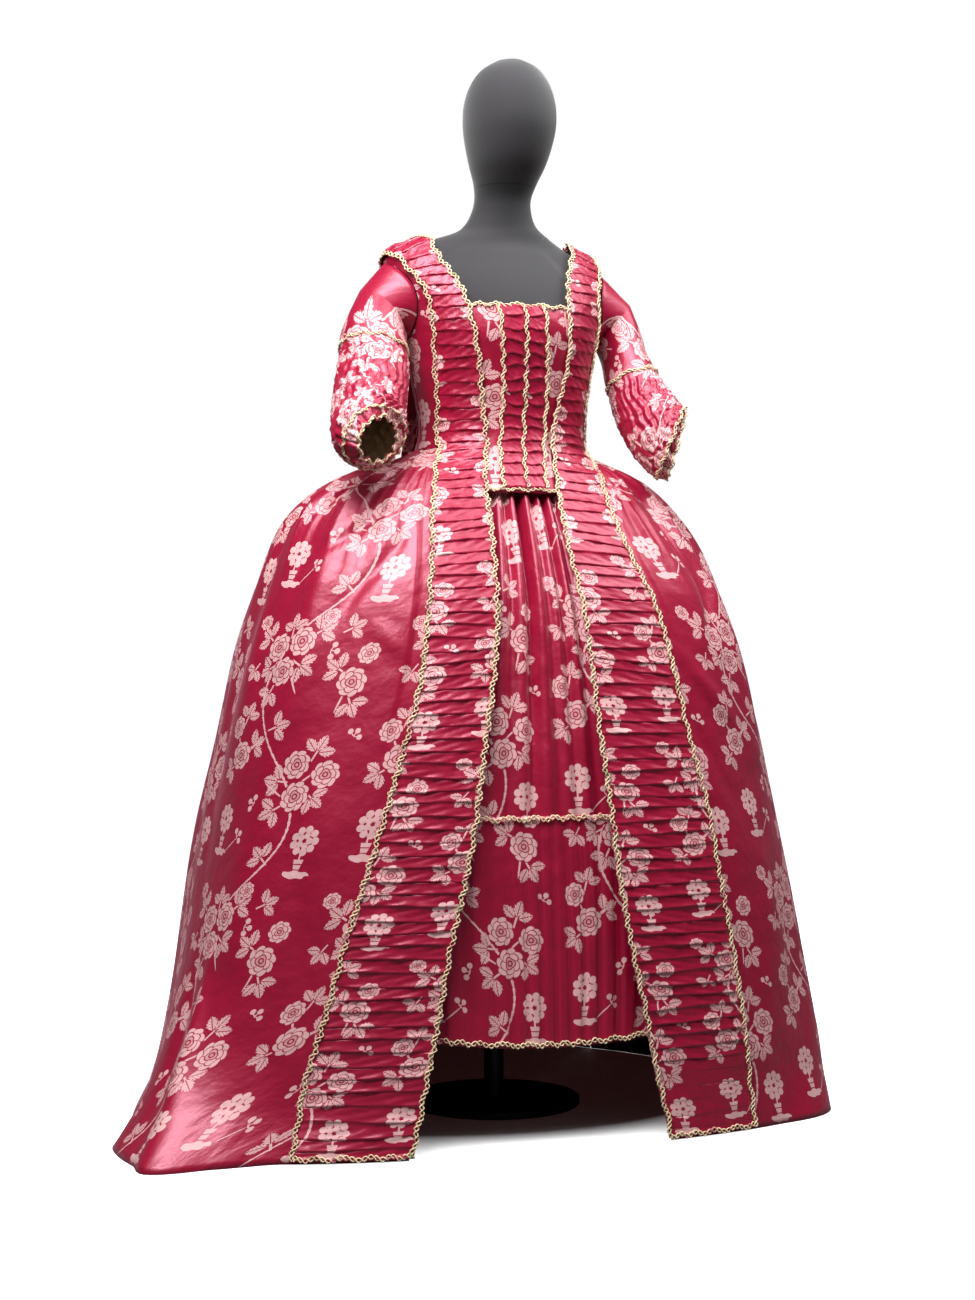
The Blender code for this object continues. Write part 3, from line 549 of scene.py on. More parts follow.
def cloth_map(points, ease=1.0):
    """Places on the woven cloth, across and up from its middle. ease is how much longer ruched cloth is."""
    across, up = lengths(points, 1), lengths(points, 0)
    middle = points.shape[1] // 2
    u = across - across[:, middle : middle + 1]
    v = np.broadcast_to(up[:, middle : middle + 1], u.shape) * ease
    return np.stack([u, v], axis=-1)


def mesh_of(name, bm):
    """A finished mesh from a bmesh."""
    mesh = bpy.data.meshes.new(name)
    bm.to_mesh(mesh)
    bm.free()
    return mesh


def linked(name, data):
    """A new object in the scene."""
    made = bpy.data.objects.new(name, data)
    bpy.context.scene.collection.objects.link(made)
    return made


def sheet_object(name, points, places, materials, wall=CLOTH_WALL, closed=False):
    """A fine sheet on a lattice of points, with its cloth places as a UV map. A second material lines it."""
    rows, columns = points.shape[:2]
    bm = bmesh.new()
    bmesh.ops.create_grid(bm, x_segments=columns - 1, y_segments=rows - 1, size=1.0)
    mesh = mesh_of(name, bm)
    flat = np.zeros(len(mesh.vertices) * 3, np.float32)
    mesh.vertices.foreach_get("co", flat)
    flat = flat.reshape(-1, 3)
    column = np.rint((flat[:, 0] + 1) / 2 * (columns - 1)).astype(int)
    row = np.rint((flat[:, 1] + 1) / 2 * (rows - 1)).astype(int)
    mesh.vertices.foreach_set("co", (points[row, column] + np.array(AXIS)).astype(np.float32).ravel())
    corner = np.zeros(len(mesh.loops), np.int32)
    mesh.loops.foreach_get("vertex_index", corner)
    layer = mesh.uv_layers.new(name="cloth")
    layer.data.foreach_set("uv", places[row, column][corner].astype(np.float32).ravel())
    if closed:
        bm = bmesh.new()
        bm.from_mesh(mesh)
        bmesh.ops.remove_doubles(bm, verts=bm.verts, dist=1e-6)
        bmesh.ops.recalc_face_normals(bm, faces=bm.faces)
        bm.to_mesh(mesh)
        bm.free()
    mesh.shade_smooth()
    mesh.update()
    made = linked(name, mesh)
    for material in materials:
        mesh.materials.append(shared(material))
    if wall:
        solidify = made.modifiers.new("wall", "SOLIDIFY")
        solidify.thickness = wall
        solidify.offset = 0.0
        solidify.material_offset = len(materials) - 1
    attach(made, "root")
    return made


def satin_sheet(name, points, flip=False, wall=CLOTH_WALL, ease=1.0):
    """A sheet of the gown's satin. flip turns its face round."""
    if flip:
        points = points[:, ::-1]
    return sheet_object(name, points, cloth_map(points, ease), ["satin_brocade"], wall)


def settings():
    """The sizes and colours in the panel."""
    return bpy.context.scene.gown


# Shader expressions
class Value:
    """A socket in a node tree, with arithmetic that makes Math nodes."""

    def __init__(self, tree, socket):
        self.tree, self.socket = tree, socket

    def node(self, kind, values=(), out=0, **settings_):
        made = self.tree.nodes.new(kind)
        for name, value in settings_.items():
            setattr(made, name, value)
        for i, value in enumerate(values):
            if isinstance(value, Value):
                self.tree.links.new(value.socket, made.inputs[i])
            elif value is not None:
                made.inputs[i].default_value = value
        return Value(self.tree, made.outputs[out])

    def math(self, operation, *values):
        return self.node("ShaderNodeMath", values, operation=operation)

    def vector(self, operation, *values, out=0):
        return self.node("ShaderNodeVectorMath", values, out=out, operation=operation)

    def mix(self, low, high):
        """low where this is 0 and high where it is 1, for colours."""
        blank = (None,) * 5
        return self.node("ShaderNodeMix", (self, *blank, low, high), out=2, data_type="RGBA")

    def pick(self, low, high):
        """low where this is 0 and high where it is 1, for vectors."""
        blank = (None,) * 3
        return self.node("ShaderNodeMix", (self, *blank, low, high), out=1, data_type="VECTOR")

    def noise(self, scale, detail):
        return self.node("ShaderNodeTexNoise", (self, None, scale, detail))

    def __add__(self, other):
        return self.math("ADD", self, other)

    def __radd__(self, other):
        return self.math("ADD", other, self)

    def __sub__(self, other):
        return self.math("SUBTRACT", self, other)

    def __rsub__(self, other):
        return self.math("SUBTRACT", other, self)

    def __mul__(self, other):
        return self.math("MULTIPLY", self, other)

    def __rmul__(self, other):
        return self.math("MULTIPLY", other, self)

    def __truediv__(self, other):
        return self.math("DIVIDE", self, other)

    def __lt__(self, other):
        return self.math("LESS_THAN", self, other)

    def __gt__(self, other):
        return self.math("GREATER_THAN", self, other)

    def sin(self):
        return self.math("SINE", self)

    def cos(self):
        return self.math("COSINE", self)

    def abs(self):
        return self.math("ABSOLUTE", self)

    def fract(self):
        return self.math("FRACT", self)

    def root(self):
        return self.math("SQRT", self)

    def angle(self, x):
        """The angle of a place whose y this is."""
        return self.math("ARCTAN2", self, x)

    def either(self, other):
        return self.math("MAXIMUM", self, other)

    def parts(self):
        """The x and y of a vector."""
        x = self.node("ShaderNodeSeparateXYZ", (self,))
        return x, Value(self.tree, x.socket.node.outputs[1])


def new_material(name):
    """A material with its node tree and its main shader."""
    material = bpy.data.materials.new(name)
    material.use_nodes = True
    tree = material.node_tree
    shader = tree.nodes["Principled BSDF"]
    return material, tree, shader


def feed(shader, name, value):
    """Links what changes over a surface to a shader's socket."""
    shader.id_data.links.new(value.socket, shader.inputs[name])


def fix(shader, **values):
    """Sets sockets that are the same all over, named with underscores for spaces."""
    for name, value in values.items():
        shader.inputs[name.replace("_", " ")].default_value = value


def bumpy(tree, shader, height, strength, distance):
    """Fine relief on a shader's surface."""
    bump = tree.nodes.new("ShaderNodeBump")
    fix(bump, Strength=strength, Distance=distance)
    tree.links.new(height.socket, bump.inputs["Height"])
    tree.links.new(bump.outputs[0], shader.inputs["Normal"])


def darker(colour, share):
    """A colour times a share of its light."""
    return tuple(c * share for c in colour[:3]) + (1.0,)


def object_place(tree):
    """A place on a piece in its own coordinates."""
    return Value(tree, tree.nodes.new("ShaderNodeTexCoord").outputs["Object"])


def seen_by_camera(tree, lighting, seen, output):
    """One shader lights the gown, and another shows in the picture."""
    mix = tree.nodes.new("ShaderNodeMixShader")
    tree.links.new(tree.nodes.new("ShaderNodeLightPath").outputs["Is Camera Ray"], mix.inputs[0])
    tree.links.new(lighting.outputs[0], mix.inputs[1])
    tree.links.new(seen.outputs[0], mix.inputs[2])
    tree.links.new(mix.outputs[0], tree.nodes[output].inputs["Surface"])


def nearest(place, spots):
    """The place as seen from the nearest spot, in units of its size, and how far it is."""
    best, far = None, None
    for spot in spots:
        local = place.node(
            "ShaderNodeMapping",
            (place, (spot.x, spot.y, 0), (0, 0, radians(spot.turn)), (spot.length, spot.width, 1)),
            vector_type="TEXTURE",
        )
        reach = local.vector("LENGTH", local, out=1)
        if best is None:
            best, far = local, reach
            continue
        closer = reach < far
        best, far = closer.pick(best, local), far.math("MINIMUM", far, reach)
    return best, far


def near_line(value, line, width):
    """1 within a width of a line."""
    return (value - line).abs() < width


def rose_shape(reach, angle):
    """Uneven rings of petals, parted by thin lines, round a darker heart."""
    twist = angle + 0.9 * reach
    outer, inner = (twist * 4.0).sin().abs(), (twist * 2.5 + 0.6).sin().abs()
    ring = 0.58 + 0.15 * inner
    heart = 0.30 + 0.12 * (angle * 1.5).sin().abs()
    whole = reach < 0.86 + 0.15 * outer
    lines = near_line(reach, ring, 0.032).either((outer < 0.12) * (reach > ring))
    lines = lines.either((inner < 0.13) * (reach < ring) * (reach > heart))
    lines = lines.either(near_line(reach, heart, 0.040)).either(near_line(reach, 0.16, 0.05))
    return whole * (1.0 - lines) * (0.72 + 0.28 * (reach > heart))


def folded(turn, span, half):
    """A place round a centre, folded into one sector of a fan: along the sector and across it."""
    fan = turn.math("WRAP", turn, half, -half)
    return span * fan.cos(), span * fan.sin()


def sprig_shape(place):
    """Three notched leaves with veins on each sprig, and its stalk."""
    sprig, span = nearest(place, SPRIGS)
    x, y = sprig.parts()
    turn = y.angle(x)
    along, across = folded(turn, span, LEAF_SECTOR)
    along, across = (along - 0.54) / 0.44, across / 0.27
    leaf = across.abs() < (1.0 - along * along) * (0.72 + 0.38 * (along * 2.6 + 0.2).fract())
    ribs = near_line((along * 2.5 - across.abs() * 1.6).fract(), 0.5, 0.06)
    leaf = leaf * (along.abs() < 1.0) * (turn.abs() < 3 * LEAF_SECTOR)
    stalk = (y.abs() < 0.05) * (x < 0.12) * (x > -0.45)
    return (leaf * (1.0 - near_line(across, 0.0, 0.08).either(ribs))).either(stalk)


def berry_shape(place):
    """Three berries on short stalks."""
    berry, span = nearest(place, BERRIES)
    x, y = berry.parts()
    turn = y.angle(x)
    along, across = folded(turn, span, BERRY_SECTOR)
    along = along - 0.72
    fruit = along * along + across * across < 0.10
    stalk = (across.abs() < 0.06) * (along < 0.0)
    return fruit.either(stalk) * (turn.abs() < 3 * BERRY_SECTOR) * (span < 1.3)


def pot_shape(place):
    """A banded pot on an island, with two rings of florets above it."""
    pot, _ = nearest(place, POTS)
    x, y = pot.parts()
    vase = (x.abs() < 0.32 + 0.22 * y) * (y.abs() < 0.48) * ((y * 2.5).fract() > 0.2)
    low = (y + 0.74) * 3.2
    island = x * x * 0.75 + low * low < 0.85 + 0.22 * (x * 7.0 + y * 9.0).sin()
    high = y - 1.8
    turn = high.angle(x)
    span = (x * x + high * high).root()
    bush = (x.abs() < 0.07) * (y < 1.2)
    for florets, away, radius in ((9, 0.86, 0.29), (5, 0.40, 0.25)):
        along, across = folded(turn, span, pi / florets)
        along = along - away
        bush = bush.either(along * along + across * across < radius * radius)
    return vase.either(island).either(bush * (y > 0.4))


def brocade_motif(tree):
    """1 on the woven flowers and 0 on the satin ground, from the cloth's own places."""
    source = tree.nodes.new("ShaderNodeUVMap")
    source.uv_map = "cloth"
    cloth = Value(tree, source.outputs[0])
    across, up = cloth.parts()
    x = across.math("WRAP", across, TILE_WIDTH, 0.0)
    y = up.math("WRAP", up, TILE_HEIGHT, 0.0)
    place = cloth.node("ShaderNodeCombineXYZ", (x, y, 0.0))
    flower, reach = nearest(place, ROSES)
    fx, fy = flower.parts()
    rose = rose_shape(reach, fy.angle(fx))
    _, twig = nearest(place, TWIGS)
    line = 0.135 + 0.058 * (y * (2 * pi / TILE_HEIGHT) + 0.4).sin()
    stem = (x - line).abs() < 0.0013 + (y * 90.0).fract() * 0.0013
    green = stem.either(twig < 1.0).either(sprig_shape(place)) * (reach > 1.04)
    return rose.either(green).either(berry_shape(place)).either(pot_shape(place)), cloth


def satin(name, ground, motif_colour):
    """Brocaded satin: a smooth crimson ground with silvery flowers."""
    material, tree, shader = new_material(name)
    motif, cloth = brocade_motif(tree)
    fine = cloth.noise(900.0, 2.0)
    slub = cloth.noise(34.0, 3.0)
    thread = motif * (0.74 + 0.4 * fine)
    feed(shader, "Base Color", thread.mix(slub.mix(darker(ground, 0.82), ground), motif_colour))
    feed(shader, "Roughness", 0.38 + 0.18 * motif)
    fix(shader, Sheen_Weight=0.18, Sheen_Roughness=0.4, Sheen_Tint=(1.0, 0.40, 0.52, 1.0))
    fix(shader, Specular_Tint=(1.0, 0.54, 0.66, 1.0), Specular_IOR_Level=1.0)
    bumpy(tree, shader, cloth.noise(15.0, 4.0) + 0.02 * fine, 0.5, 0.010)
    return material


def plain(name, colour, roughness, sheen=0.0, grain=0.0, metallic=0.0, seam_z=None):
    """A plain surface with a little unevenness."""
    material, tree, shader = new_material(name)
    place = object_place(tree)
    noise = place.noise(260.0, 3.0)
    cover = noise.mix(darker(colour, 0.8), colour)
    if seam_z:
        height = place.vector("DOT_PRODUCT", place, (0.0, 0.0, 1.0), out=1)
        cover = near_line(height, seam_z, 0.0011).mix(cover, (0.004, 0.004, 0.004, 1.0))
    feed(shader, "Base Color", cover)
    fix(shader, Roughness=roughness, Metallic=metallic, Sheen_Weight=sheen)
    if grain:
        bumpy(tree, shader, noise, grain, 0.001)
    return material


def gimp_material(colour):
    """Cream silk gimp with flecks of green and pink."""
    material, tree, shader = new_material("gimp")
    place = object_place(tree)
    green = (place.noise(45.0, 2.0) > 0.66).mix(colour, (0.42, 0.40, 0.18, 1.0))
    feed(shader, "Base Color", (place.noise(61.0, 2.0) > 0.64).mix(green, (0.62, 0.22, 0.24, 1.0)))
    fix(shader, Roughness=0.7, Sheen_Weight=0.3)
    return material


def floor_paper(name):
    """White paper seen brighter than it lights the gown, with a painted shade under the skirt where its glow
    turns a dim dark red.
    """
    material, tree, shader = new_material(name)
    x, y = object_place(tree).parts()
    # Painted shade: in an oval under the skirt the floor's glow fades to a dim dark red, standing in for the
    # skirt's shadow.
    x, y = (x - AXIS.x) / 0.55, (y - AXIS.y - 0.29) / 0.53
    glow_outside_painted_shade = ((x * x + y * y).root() - 0.92) / 0.3
    glow_outside_painted_shade = glow_outside_painted_shade.math("MINIMUM", glow_outside_painted_shade.either(0.0), 1.0)
    feed(shader, "Emission Color", glow_outside_painted_shade.mix((0.010, 0.003, 0.003, 1.0), (0.85, 0.85, 0.85, 1.0)))
    fix(shader, Base_Color=(0.88, 0.88, 0.88, 1.0), Roughness=0.8, Emission_Strength=1.0)
    grey = tree.nodes.new("ShaderNodeBsdfDiffuse")
    fix(grey, Color=(0.14, 0.14, 0.14, 1.0))
    seen_by_camera(tree, grey, shader, "Material Output")
    return material


def shared(name):
    """A material of the gown, made the first time it is asked for."""
    found = bpy.data.materials.get(name)
    if found:
        return found
    look = settings()
    if name == "satin_brocade":
        return satin(name, tuple(look.ground) + (1.0,), tuple(look.motif) + (1.0,))
    if name == "gimp":
        return gimp_material(tuple(look.gimp) + (1.0,))
    if name == "sleeve_lining":
        return plain(name, (0.62, 0.49, 0.33, 1.0), 0.9)
    if name == "form_jersey":
        jersey = (0.021, 0.019, 0.023, 1.0)
        return plain(name, jersey, 0.85, sheen=0.3, grain=0.25, seam_z=NECK_SEAM_Z)
    return plain(name, (0.03, 0.03, 0.032, 1.0), 0.4, metallic=0.6)


# Sheets of the gown
def skirt_side(name, rows, side, creases):
    """Side of the skirt: waist pleats, the listed soft folds and the flared hem."""
    z = np.concatenate([np.linspace(HEM_Z, 0.82, 90)[:-1], np.linspace(0.82, WAIST_Z, 60)])[:, None]
    step = np.linspace(0, 1, 190)[None, :]
    start = np.abs(turn_at(side * (edge_x(rows, z, "inner") + 0.006), z))
    seam = np.abs(turn_at(side * edge_x(rows, z, "outer"), z))
    end = np.abs(turn_at(side * (sack_half_width(z) + SEAM_GAP), z, True))
    near = start + (seam - start) * step / ROBING_ZONE
    turn = np.where(step <= ROBING_ZONE, near, seam + (end - seam) * (step - ROBING_ZONE) / (1 - ROBING_ZONE))
    zone = ramp(turn, 46, 66) * ramp(end - turn, 0, 15)
    waist = ramp(z, 0.55, 0.93) * np.maximum(ramp(WAIST_Z - z, 0.0, 0.05), 0.2)
    pleat = 0.5 - 0.5 * np.cos(pi * (step * SKIRT_PLEATS + 0.25 * ripple(turn / 20, z * 4, side)))
    narrow = np.abs(np.sin(pi * step * 30 + 0.6 * ripple(turn / 12, z * 3, 2.0)))
    lift = settings().pleat * zone * waist * (pleat + 0.55 * ramp(z, 0.80, 1.0) * (1 - narrow) ** 2)
    flare = smooth(LEFT_FLARE if side > 0 else RIGHT_FLARE, "out", turn, key="turn")
    flare = flare * np.maximum(0.0, 1 - z / FLARE_TOP) ** FLARE_CURVE
    free = ramp(turn - seam, 0, 8) * ramp(end - turn, 0, 8)
    lift = lift + free * crease_lift(creases, turn, z) * ramp(z, 0.0, 0.2)
    lift = lift + free * 0.0038 * ripple(turn / 6.0, z * 6, 1.3 + side)
    beside = seam + FOLD_BESIDE * (1 + 0.15 * ripple(z * 9, z * 2, 1.0))
    fold = ramp(turn, beside, beside + 0.5) * ramp(beside + 9 - turn, 0, 8)
    lift = lift + FOLD_DEPTH[side] * fold * ramp(z, 0.58, 0.76) * ramp(WAIST_Z - z, 0.0, 0.05)
    points = body(side * turn, z, lift)
    level = normal(side * turn, z) * (1.0, 1.0, 0.0)
    points = points + level / np.linalg.norm(level, axis=-1, keepdims=True) * flare[..., None]
    points[0, :, 2] = HEM_Z
    return satin_sheet(name, points, side < 0)


def sack_half_width(z):
    """Half of the back panel, which widens into the train."""
    high = smooth(SACK, "half_width", z) + 0.01 * np.maximum(0.0, 1.02 - z) / 0.05
    down = 1 - np.minimum(z, SACK_SEAM_TOP) / SACK_SEAM_TOP
    return np.where(z >= SACK_SEAM_TOP, high, SACK_HALF_WIDTH + TRAIN_SPREAD * down**0.9)


def pleat_height(across):
    """Two box pleats on each side of the back's middle, from 0 to 1."""
    places = (0.0, 0.05, 0.10, 0.48, 0.54, 0.82, 0.90, 1.0)
    heights = (0.0, 0.0, 1.0, 1.0, 0.45, 0.45, 0.0, 0.0)
    return np.interp(np.abs(across), places, heights)


def sack_back(name):
    """Back panel: two double box pleats from the neck that open into the train."""
    skirt, neck = np.linspace(HEM_Z, SACK_SEAM_TOP, 90), np.linspace(SACK[-1].z, SACK[0].z, 46)
    z = np.concatenate([skirt, neck])[:, None]
    share = np.linspace(-1, 1, 161)[None, :]
    half_width = sack_half_width(z)
    limit = half_width - SEAM_GAP
    centre = smooth(PROFILE, "shift", z)
    low = np.minimum(z, SACK_SEAM_TOP)
    soft = share + 0.02 * ripple(share * 3, z * 4, 0.7) * (1 - share**2)
    point = body_point(turn_at(np.clip(share * half_width, -limit, limit), low, True), low)
    outward = np.stack([point[..., 0] - centre, point[..., 1] * 1.4, 0 * point[..., 0]], axis=-1)
    outward /= np.linalg.norm(outward, axis=-1, keepdims=True)
    depth = SACK_PLEAT + TRAIN_PLEAT * (1 - low / SACK_SEAM_TOP)
    wave = 0.006 * (1 - share**2) * ripple(share * 9, z * 5, 2.0) * ramp(SACK_SEAM_TOP - low, 0, 0.2)
    hanging = point + outward * (depth * pleat_height(soft) + wave)[..., None]
    middle, edge = smooth(SACK, "middle", z), smooth(SACK, "edge", z)
    y = middle + (edge - middle) * np.abs(share) ** 2.2
    over = body(turn_at(share * half_width, z, True), z, SACK_LIFT)[..., 1]
    y = np.maximum(y, over) + smooth(SACK, "pleat", z) * pleat_height(soft)
    free = np.stack([share * half_width, y, np.broadcast_to(z, y.shape)], axis=-1)
    points = np.where((z > SACK_SEAM_TOP)[..., None], free, hanging)
    points[0, :, 2] = HEM_Z
    return satin_sheet(name, points, True)


def robing_edges(rows, side):
    """Turn and z of a robing's two edges row by row, and the run of its middle in metres."""
    edges, run, last = [], [0.0], None
    for row in rows:
        pair = []
        for z, x in ((row.z_inner, row.x_inner), (row.z_outer, row.x_outer)):
            pair.append((side * abs(float(turn_at(side * x, z, bool(row.behind)))), z))
        edges.append(pair)
        middle = (body_point(*pair[0]) + body_point(*pair[1])) / 2
        if last is not None:
            run.append(run[-1] + float(np.linalg.norm(middle - last)))
        last = middle
    return np.array(edges), np.array(run)


def on_robing(path, across, down):
    """Turn and z on a robing, for shares across and down it."""
    edges, run = path
    whole = np.interp(down * run[-1], run, np.arange(len(run))) / (len(run) - 1)
    inner, outer = between(edges[:, 0], whole), between(edges[:, 1], whole)
    place = inner + (outer - inner) * np.asarray(across)[..., None]
    return place[..., 0], place[..., 1]


def clapboard(phase):
    """Tucks that jut out quickly at their lower edge and fall back slowly above it."""
    part = phase - np.floor(phase)
    return np.where(part < TUCK_CREST, ramp(part, 0.0, TUCK_CREST), (1 - ramp(part, TUCK_CREST, 1.0)) ** 2.8)


def tuck_rows(tucks):
    """Shares up a ruched strip, close together at the edge of each tuck."""
    steps = (0.0, 0.035, 0.09, 0.17, 0.28, 0.42, 0.56, 0.70, 0.84, 0.95)
    return np.append((np.arange(tucks)[:, None] + np.array(steps)).ravel(), tucks) / tucks


def robing(name, rows, side, plain_end):
    """A ruched strip, each tuck a little different. plain_end is 1 where the tucks lie flat near the hem."""
    path = robing_edges(rows, side)
    across, up = np.meshgrid(np.linspace(0, 1, 23), tuck_rows(ROBING_LINES))
    number = np.minimum(np.floor(up * ROBING_LINES + 1e-6), ROBING_LINES - 1)
    tuck = clapboard(up * ROBING_LINES)
    ends = ramp(up, 0, 0.012) * ramp(1 - up, 0, 0.012)
    slant = 0.16 * ripple(number * 1.7, across * 1.6, side) + 0.03 * ripple(number * 5.1, across * 9, 2.0)
    turn, z = on_robing(path, across, 1 - np.clip(up + slant * ends / ROBING_LINES, 0, 1))
    uneven = np.clip(0.95 + 0.55 * ripple(number * 1.9, across * 4, 1.0), 0.25, 1.5)
    edge = 0.5 + 0.5 * np.minimum(ramp(across, 0, 0.10), ramp(1 - across, 0, 0.10))
    calm = 1 - 0.85 * plain_end * ramp(0.085 - up, 0, 0.02)
    lift = ROBING_LIFT + settings().tuck * tuck * uneven * edge * calm
    lift = lift + 0.0010 * ripple(across * 26, up * 330, 2.0) * calm
    return satin_sheet(name, body(turn, z, lift), side < 0, FINE_WALL, RUCHED_EASE)


def armhole_turn(z, behind):
    """The turn of the armhole's edge at a height, in front of the arm or behind it."""
    half_width, depth, power, _, _ = section(z, behind)
    y = np.sqrt(np.maximum(ARMHOLE_RADIUS**2 - (z - ARMHOLE_Z) ** 2, 0.0))
    x = half_width * (1 - np.minimum(y / depth, 0.96) ** power) ** (1 / power)
    return np.degrees(np.arctan2(x, np.where(behind, -y, y)))


def fitted(name, rows, side, behind):
    """A quarter of the fitted bodice."""
    at = np.linspace(0, 1, 61)
    table = between([[r.back if behind else r.front, r.side, r.turn] for r in FITTED], at)
    z_inner, z_outer = table[:, 0], table[:, 1]
    if behind:
        start = table[:, 2]
    else:
        inner, outer = edge_x(rows, z_inner, "inner"), edge_x(rows, z_inner, "outer")
        start = np.abs(turn_at(side * (inner + UNDER_ROBING * (outer - inner)), z_inner))
        last = ramp(at, 0.9, 1.0)
        start = start * (1 - last) + 89.0 * last
    end = np.where(z_outer > ARMHOLE_Z - ARMHOLE_RADIUS, armhole_turn(z_outer, behind), 90.0)
    end = end + (0.25 if behind else -0.25)
    share = np.linspace(0, 1, 41)[None, :]
    turn = start[:, None] + (end - start)[:, None] * share
    z = z_inner[:, None] + (z_outer - z_inner)[:, None] * share
    lift = NECK_LIFT * (1 - share) * ramp(z_inner, 1.33, 1.36)[:, None]
    lift = lift + 0.0008 * ripple(turn / 5, z * 60, side) * ramp(share, 0, 0.2) * ramp(1 - share, 0, 0.2)
    return satin_sheet(name, body(side * turn, z, lift), (side > 0) == behind, FINE_WALL)


def stomacher(name):
    """The panel between the robings, tucked under them above the waist."""
    z = np.linspace(STOMACHER_BOTTOM, STOMACHER_TOP, 61)[:, None]
    tuck = np.where(z > WAIST_Z + 0.01, 0.012, 0.001)
    right, left = -(edge_x(RIGHT_ROBING, z, "inner") + tuck), edge_x(LEFT_ROBING, z, "inner") + tuck
    x = right + (left - right) * np.linspace(0, 1, 41)[None, :]
    points = body(turn_at(x, z), z, 0.0004 * ripple(x * 200, z * 90, 1.0))
    return satin_sheet(name, points, wall=FINE_WALL)


def ruched_strip(name, right_edge, left_edge):
    """A narrow ruched strip on the stomacher."""
    up = tuck_rows(STRIP_TUCKS)[:, None]
    across = np.linspace(0, 1, 17)[None, :]
    number = np.floor(up * STRIP_TUCKS + 1e-6)
    ends = ramp(up, 0, 0.04) * ramp(1 - up, 0, 0.04)
    slant = 0.20 * ripple(number * 1.3, across * 2, len(right_edge)) * ends
    z = STRIPS[0].z + (STRIPS[-1].z - STRIPS[0].z) * np.clip(up + slant / STRIP_TUCKS, 0, 1)
    right, left = smooth(STRIPS, right_edge, z) + 0.001, smooth(STRIPS, left_edge, z) - 0.001
    x = right + (left - right) * across
    puff = clapboard(up * STRIP_TUCKS) * (0.8 + 0.4 * ripple(number * 2.7, across * 5, 3.0))
    lift = STRIP_LIFT + 0.0030 * puff * (0.5 + 0.5 * np.sin(pi * across)) * ramp(up, 0, 0.01)
    lift = lift + 0.0007 * ripple(across * 24, up * 70, 1.0)
    points = body(turn_at(x, z), z, lift)
    return satin_sheet(name, points, wall=FINE_WALL, ease=RUCHED_EASE)


def petticoat_surface(turn, z, lift):
    """Points a little inside the skirt, and close under it at the sides of the waist."""
    seat = ramp(np.abs(turn), 50, 65) * ramp(z, 0.94, 0.97)
    inside = smooth(PETTICOAT, "inside", z) * (1 - seat) + PETTICOAT_SEAT * seat
    return body(turn, z, lift - inside)


def petticoat_folds(turn, z):
    """Deep pleats that fall from the waist in front and fade above the flounce."""
    x = body_point(turn, z)[..., 0]
    down = ramp(PETTICOAT_TOP - z, 0.0, PETTICOAT_TOP - PETTICOAT_BOTTOM)
    lift = 0.0
    for fold in PETTICOAT_FOLDS:
        line = fold.x_top + (fold.x_low - fold.x_top) * down
        width = fold.width * (1 + 1.6 * down)
        fade = ramp(PETTICOAT_TOP - z, 0.0, 0.05) * (1 - 0.6 * down)
        lift = lift - fold.depth * fade * np.exp(-(((x - line) / width) ** 2))
        lift = lift + 0.3 * fold.depth * fade * np.exp(-(((x - line - 1.8 * width) / width) ** 2))
    return lift


def petticoat_front(name):
    """Front of the petticoat above its flounce, with its columns closer together in the middle."""
    z = np.linspace(PETTICOAT_BOTTOM, PETTICOAT_TOP, 90)[:, None]
    share = np.linspace(-1, 1, 181)[None, :]
    turn = 89.8 * share * (0.45 + 0.55 * share**2)
    lift = petticoat_folds(turn, z) + 0.0014 * ripple(turn / 4, z * 9, 0.4) * ramp(PETTICOAT_TOP - z, 0, 0.1)
    return satin_sheet(name, petticoat_surface(turn, z, lift))


def petticoat_hem(turn, top):
    """Height of the petticoat's lower edge, which rises to the sides."""
    return PETTICOAT_HEM + PETTICOAT_HEM_RISE * np.minimum(np.abs(body_point(turn, top)[..., 0]), 0.4) ** 2


def petticoat_flounce(name):
    """Lower front of the petticoat, laid in flat pleats."""
    share = np.linspace(-1, 1, 217)[None, :]
    up = np.linspace(0, 1, 40)[:, None]
    turn = FLOUNCE_TURN * share * (0.6 + 0.4 * share**2)
    low = petticoat_hem(turn, FLOUNCE_TOP)
    z = low + (FLOUNCE_TOP - low) * up
    pleats = (share + 1) * FLOUNCE_PLEATS / 2
    part = pleats - np.floor(pleats)
    flat = np.interp(part, (0.0, 0.22, 0.26, 0.74, 0.78, 1.0), (0.0, 0.0, 1.0, 1.0, 0.0, 0.0))
    lift = FLOUNCE_LIFT + 0.0045 * flat * (1 - 0.8 * up) + 0.001 * ripple(share * 30, up * 4, 1.0)
    return satin_sheet(name, petticoat_surface(turn, z, lift))


def petticoat_back(name):
    """Back of the petticoat, drawn in towards the floor so that it stays inside the train."""
    z = np.linspace(0.16, PETTICOAT_TOP + 0.0125, 60)[:, None]
    turn = 90.2 + 179.6 * np.linspace(0, 1, 91)[None, :]
    turn = np.broadcast_to(np.where(turn <= 180, turn, turn - 360), (60, 91))
    z = np.broadcast_to(z, turn.shape).copy()
    z[0] = petticoat_hem(turn[0], 0.30)
    points = petticoat_surface(turn, z, 0.003 * np.abs(np.sin(np.radians(turn) * 24)) * ramp(z, 0.7, 0.9))
    behind = np.maximum(0.0, points[..., 1])
    points[..., 1] -= 0.38 * behind * np.maximum(0.0, 1 - z / 0.94) ** 0.8
    return satin_sheet(name, points)


def sleeve_frame(rings, side):
    """Centres, half widths and axes of the sleeve's rings."""
    centres = np.array([(side * r.x, r.y, r.z) for r in rings])
    axes = [Vector((side * r.out, -r.forward, -r.down)).normalized() for r in rings]
    forward, ahead, up = Vector((0, -1, 0)), [], []
    for axis in axes:
        forward = (forward - axis * forward.dot(axis)).normalized()
        ahead.append(tuple(forward))
        up.append(tuple(forward.cross(axis) if side > 0 else axis.cross(forward)))
    return centres, np.array([(r.across, r.deep) for r in rings]), np.array(ahead), np.array(up)


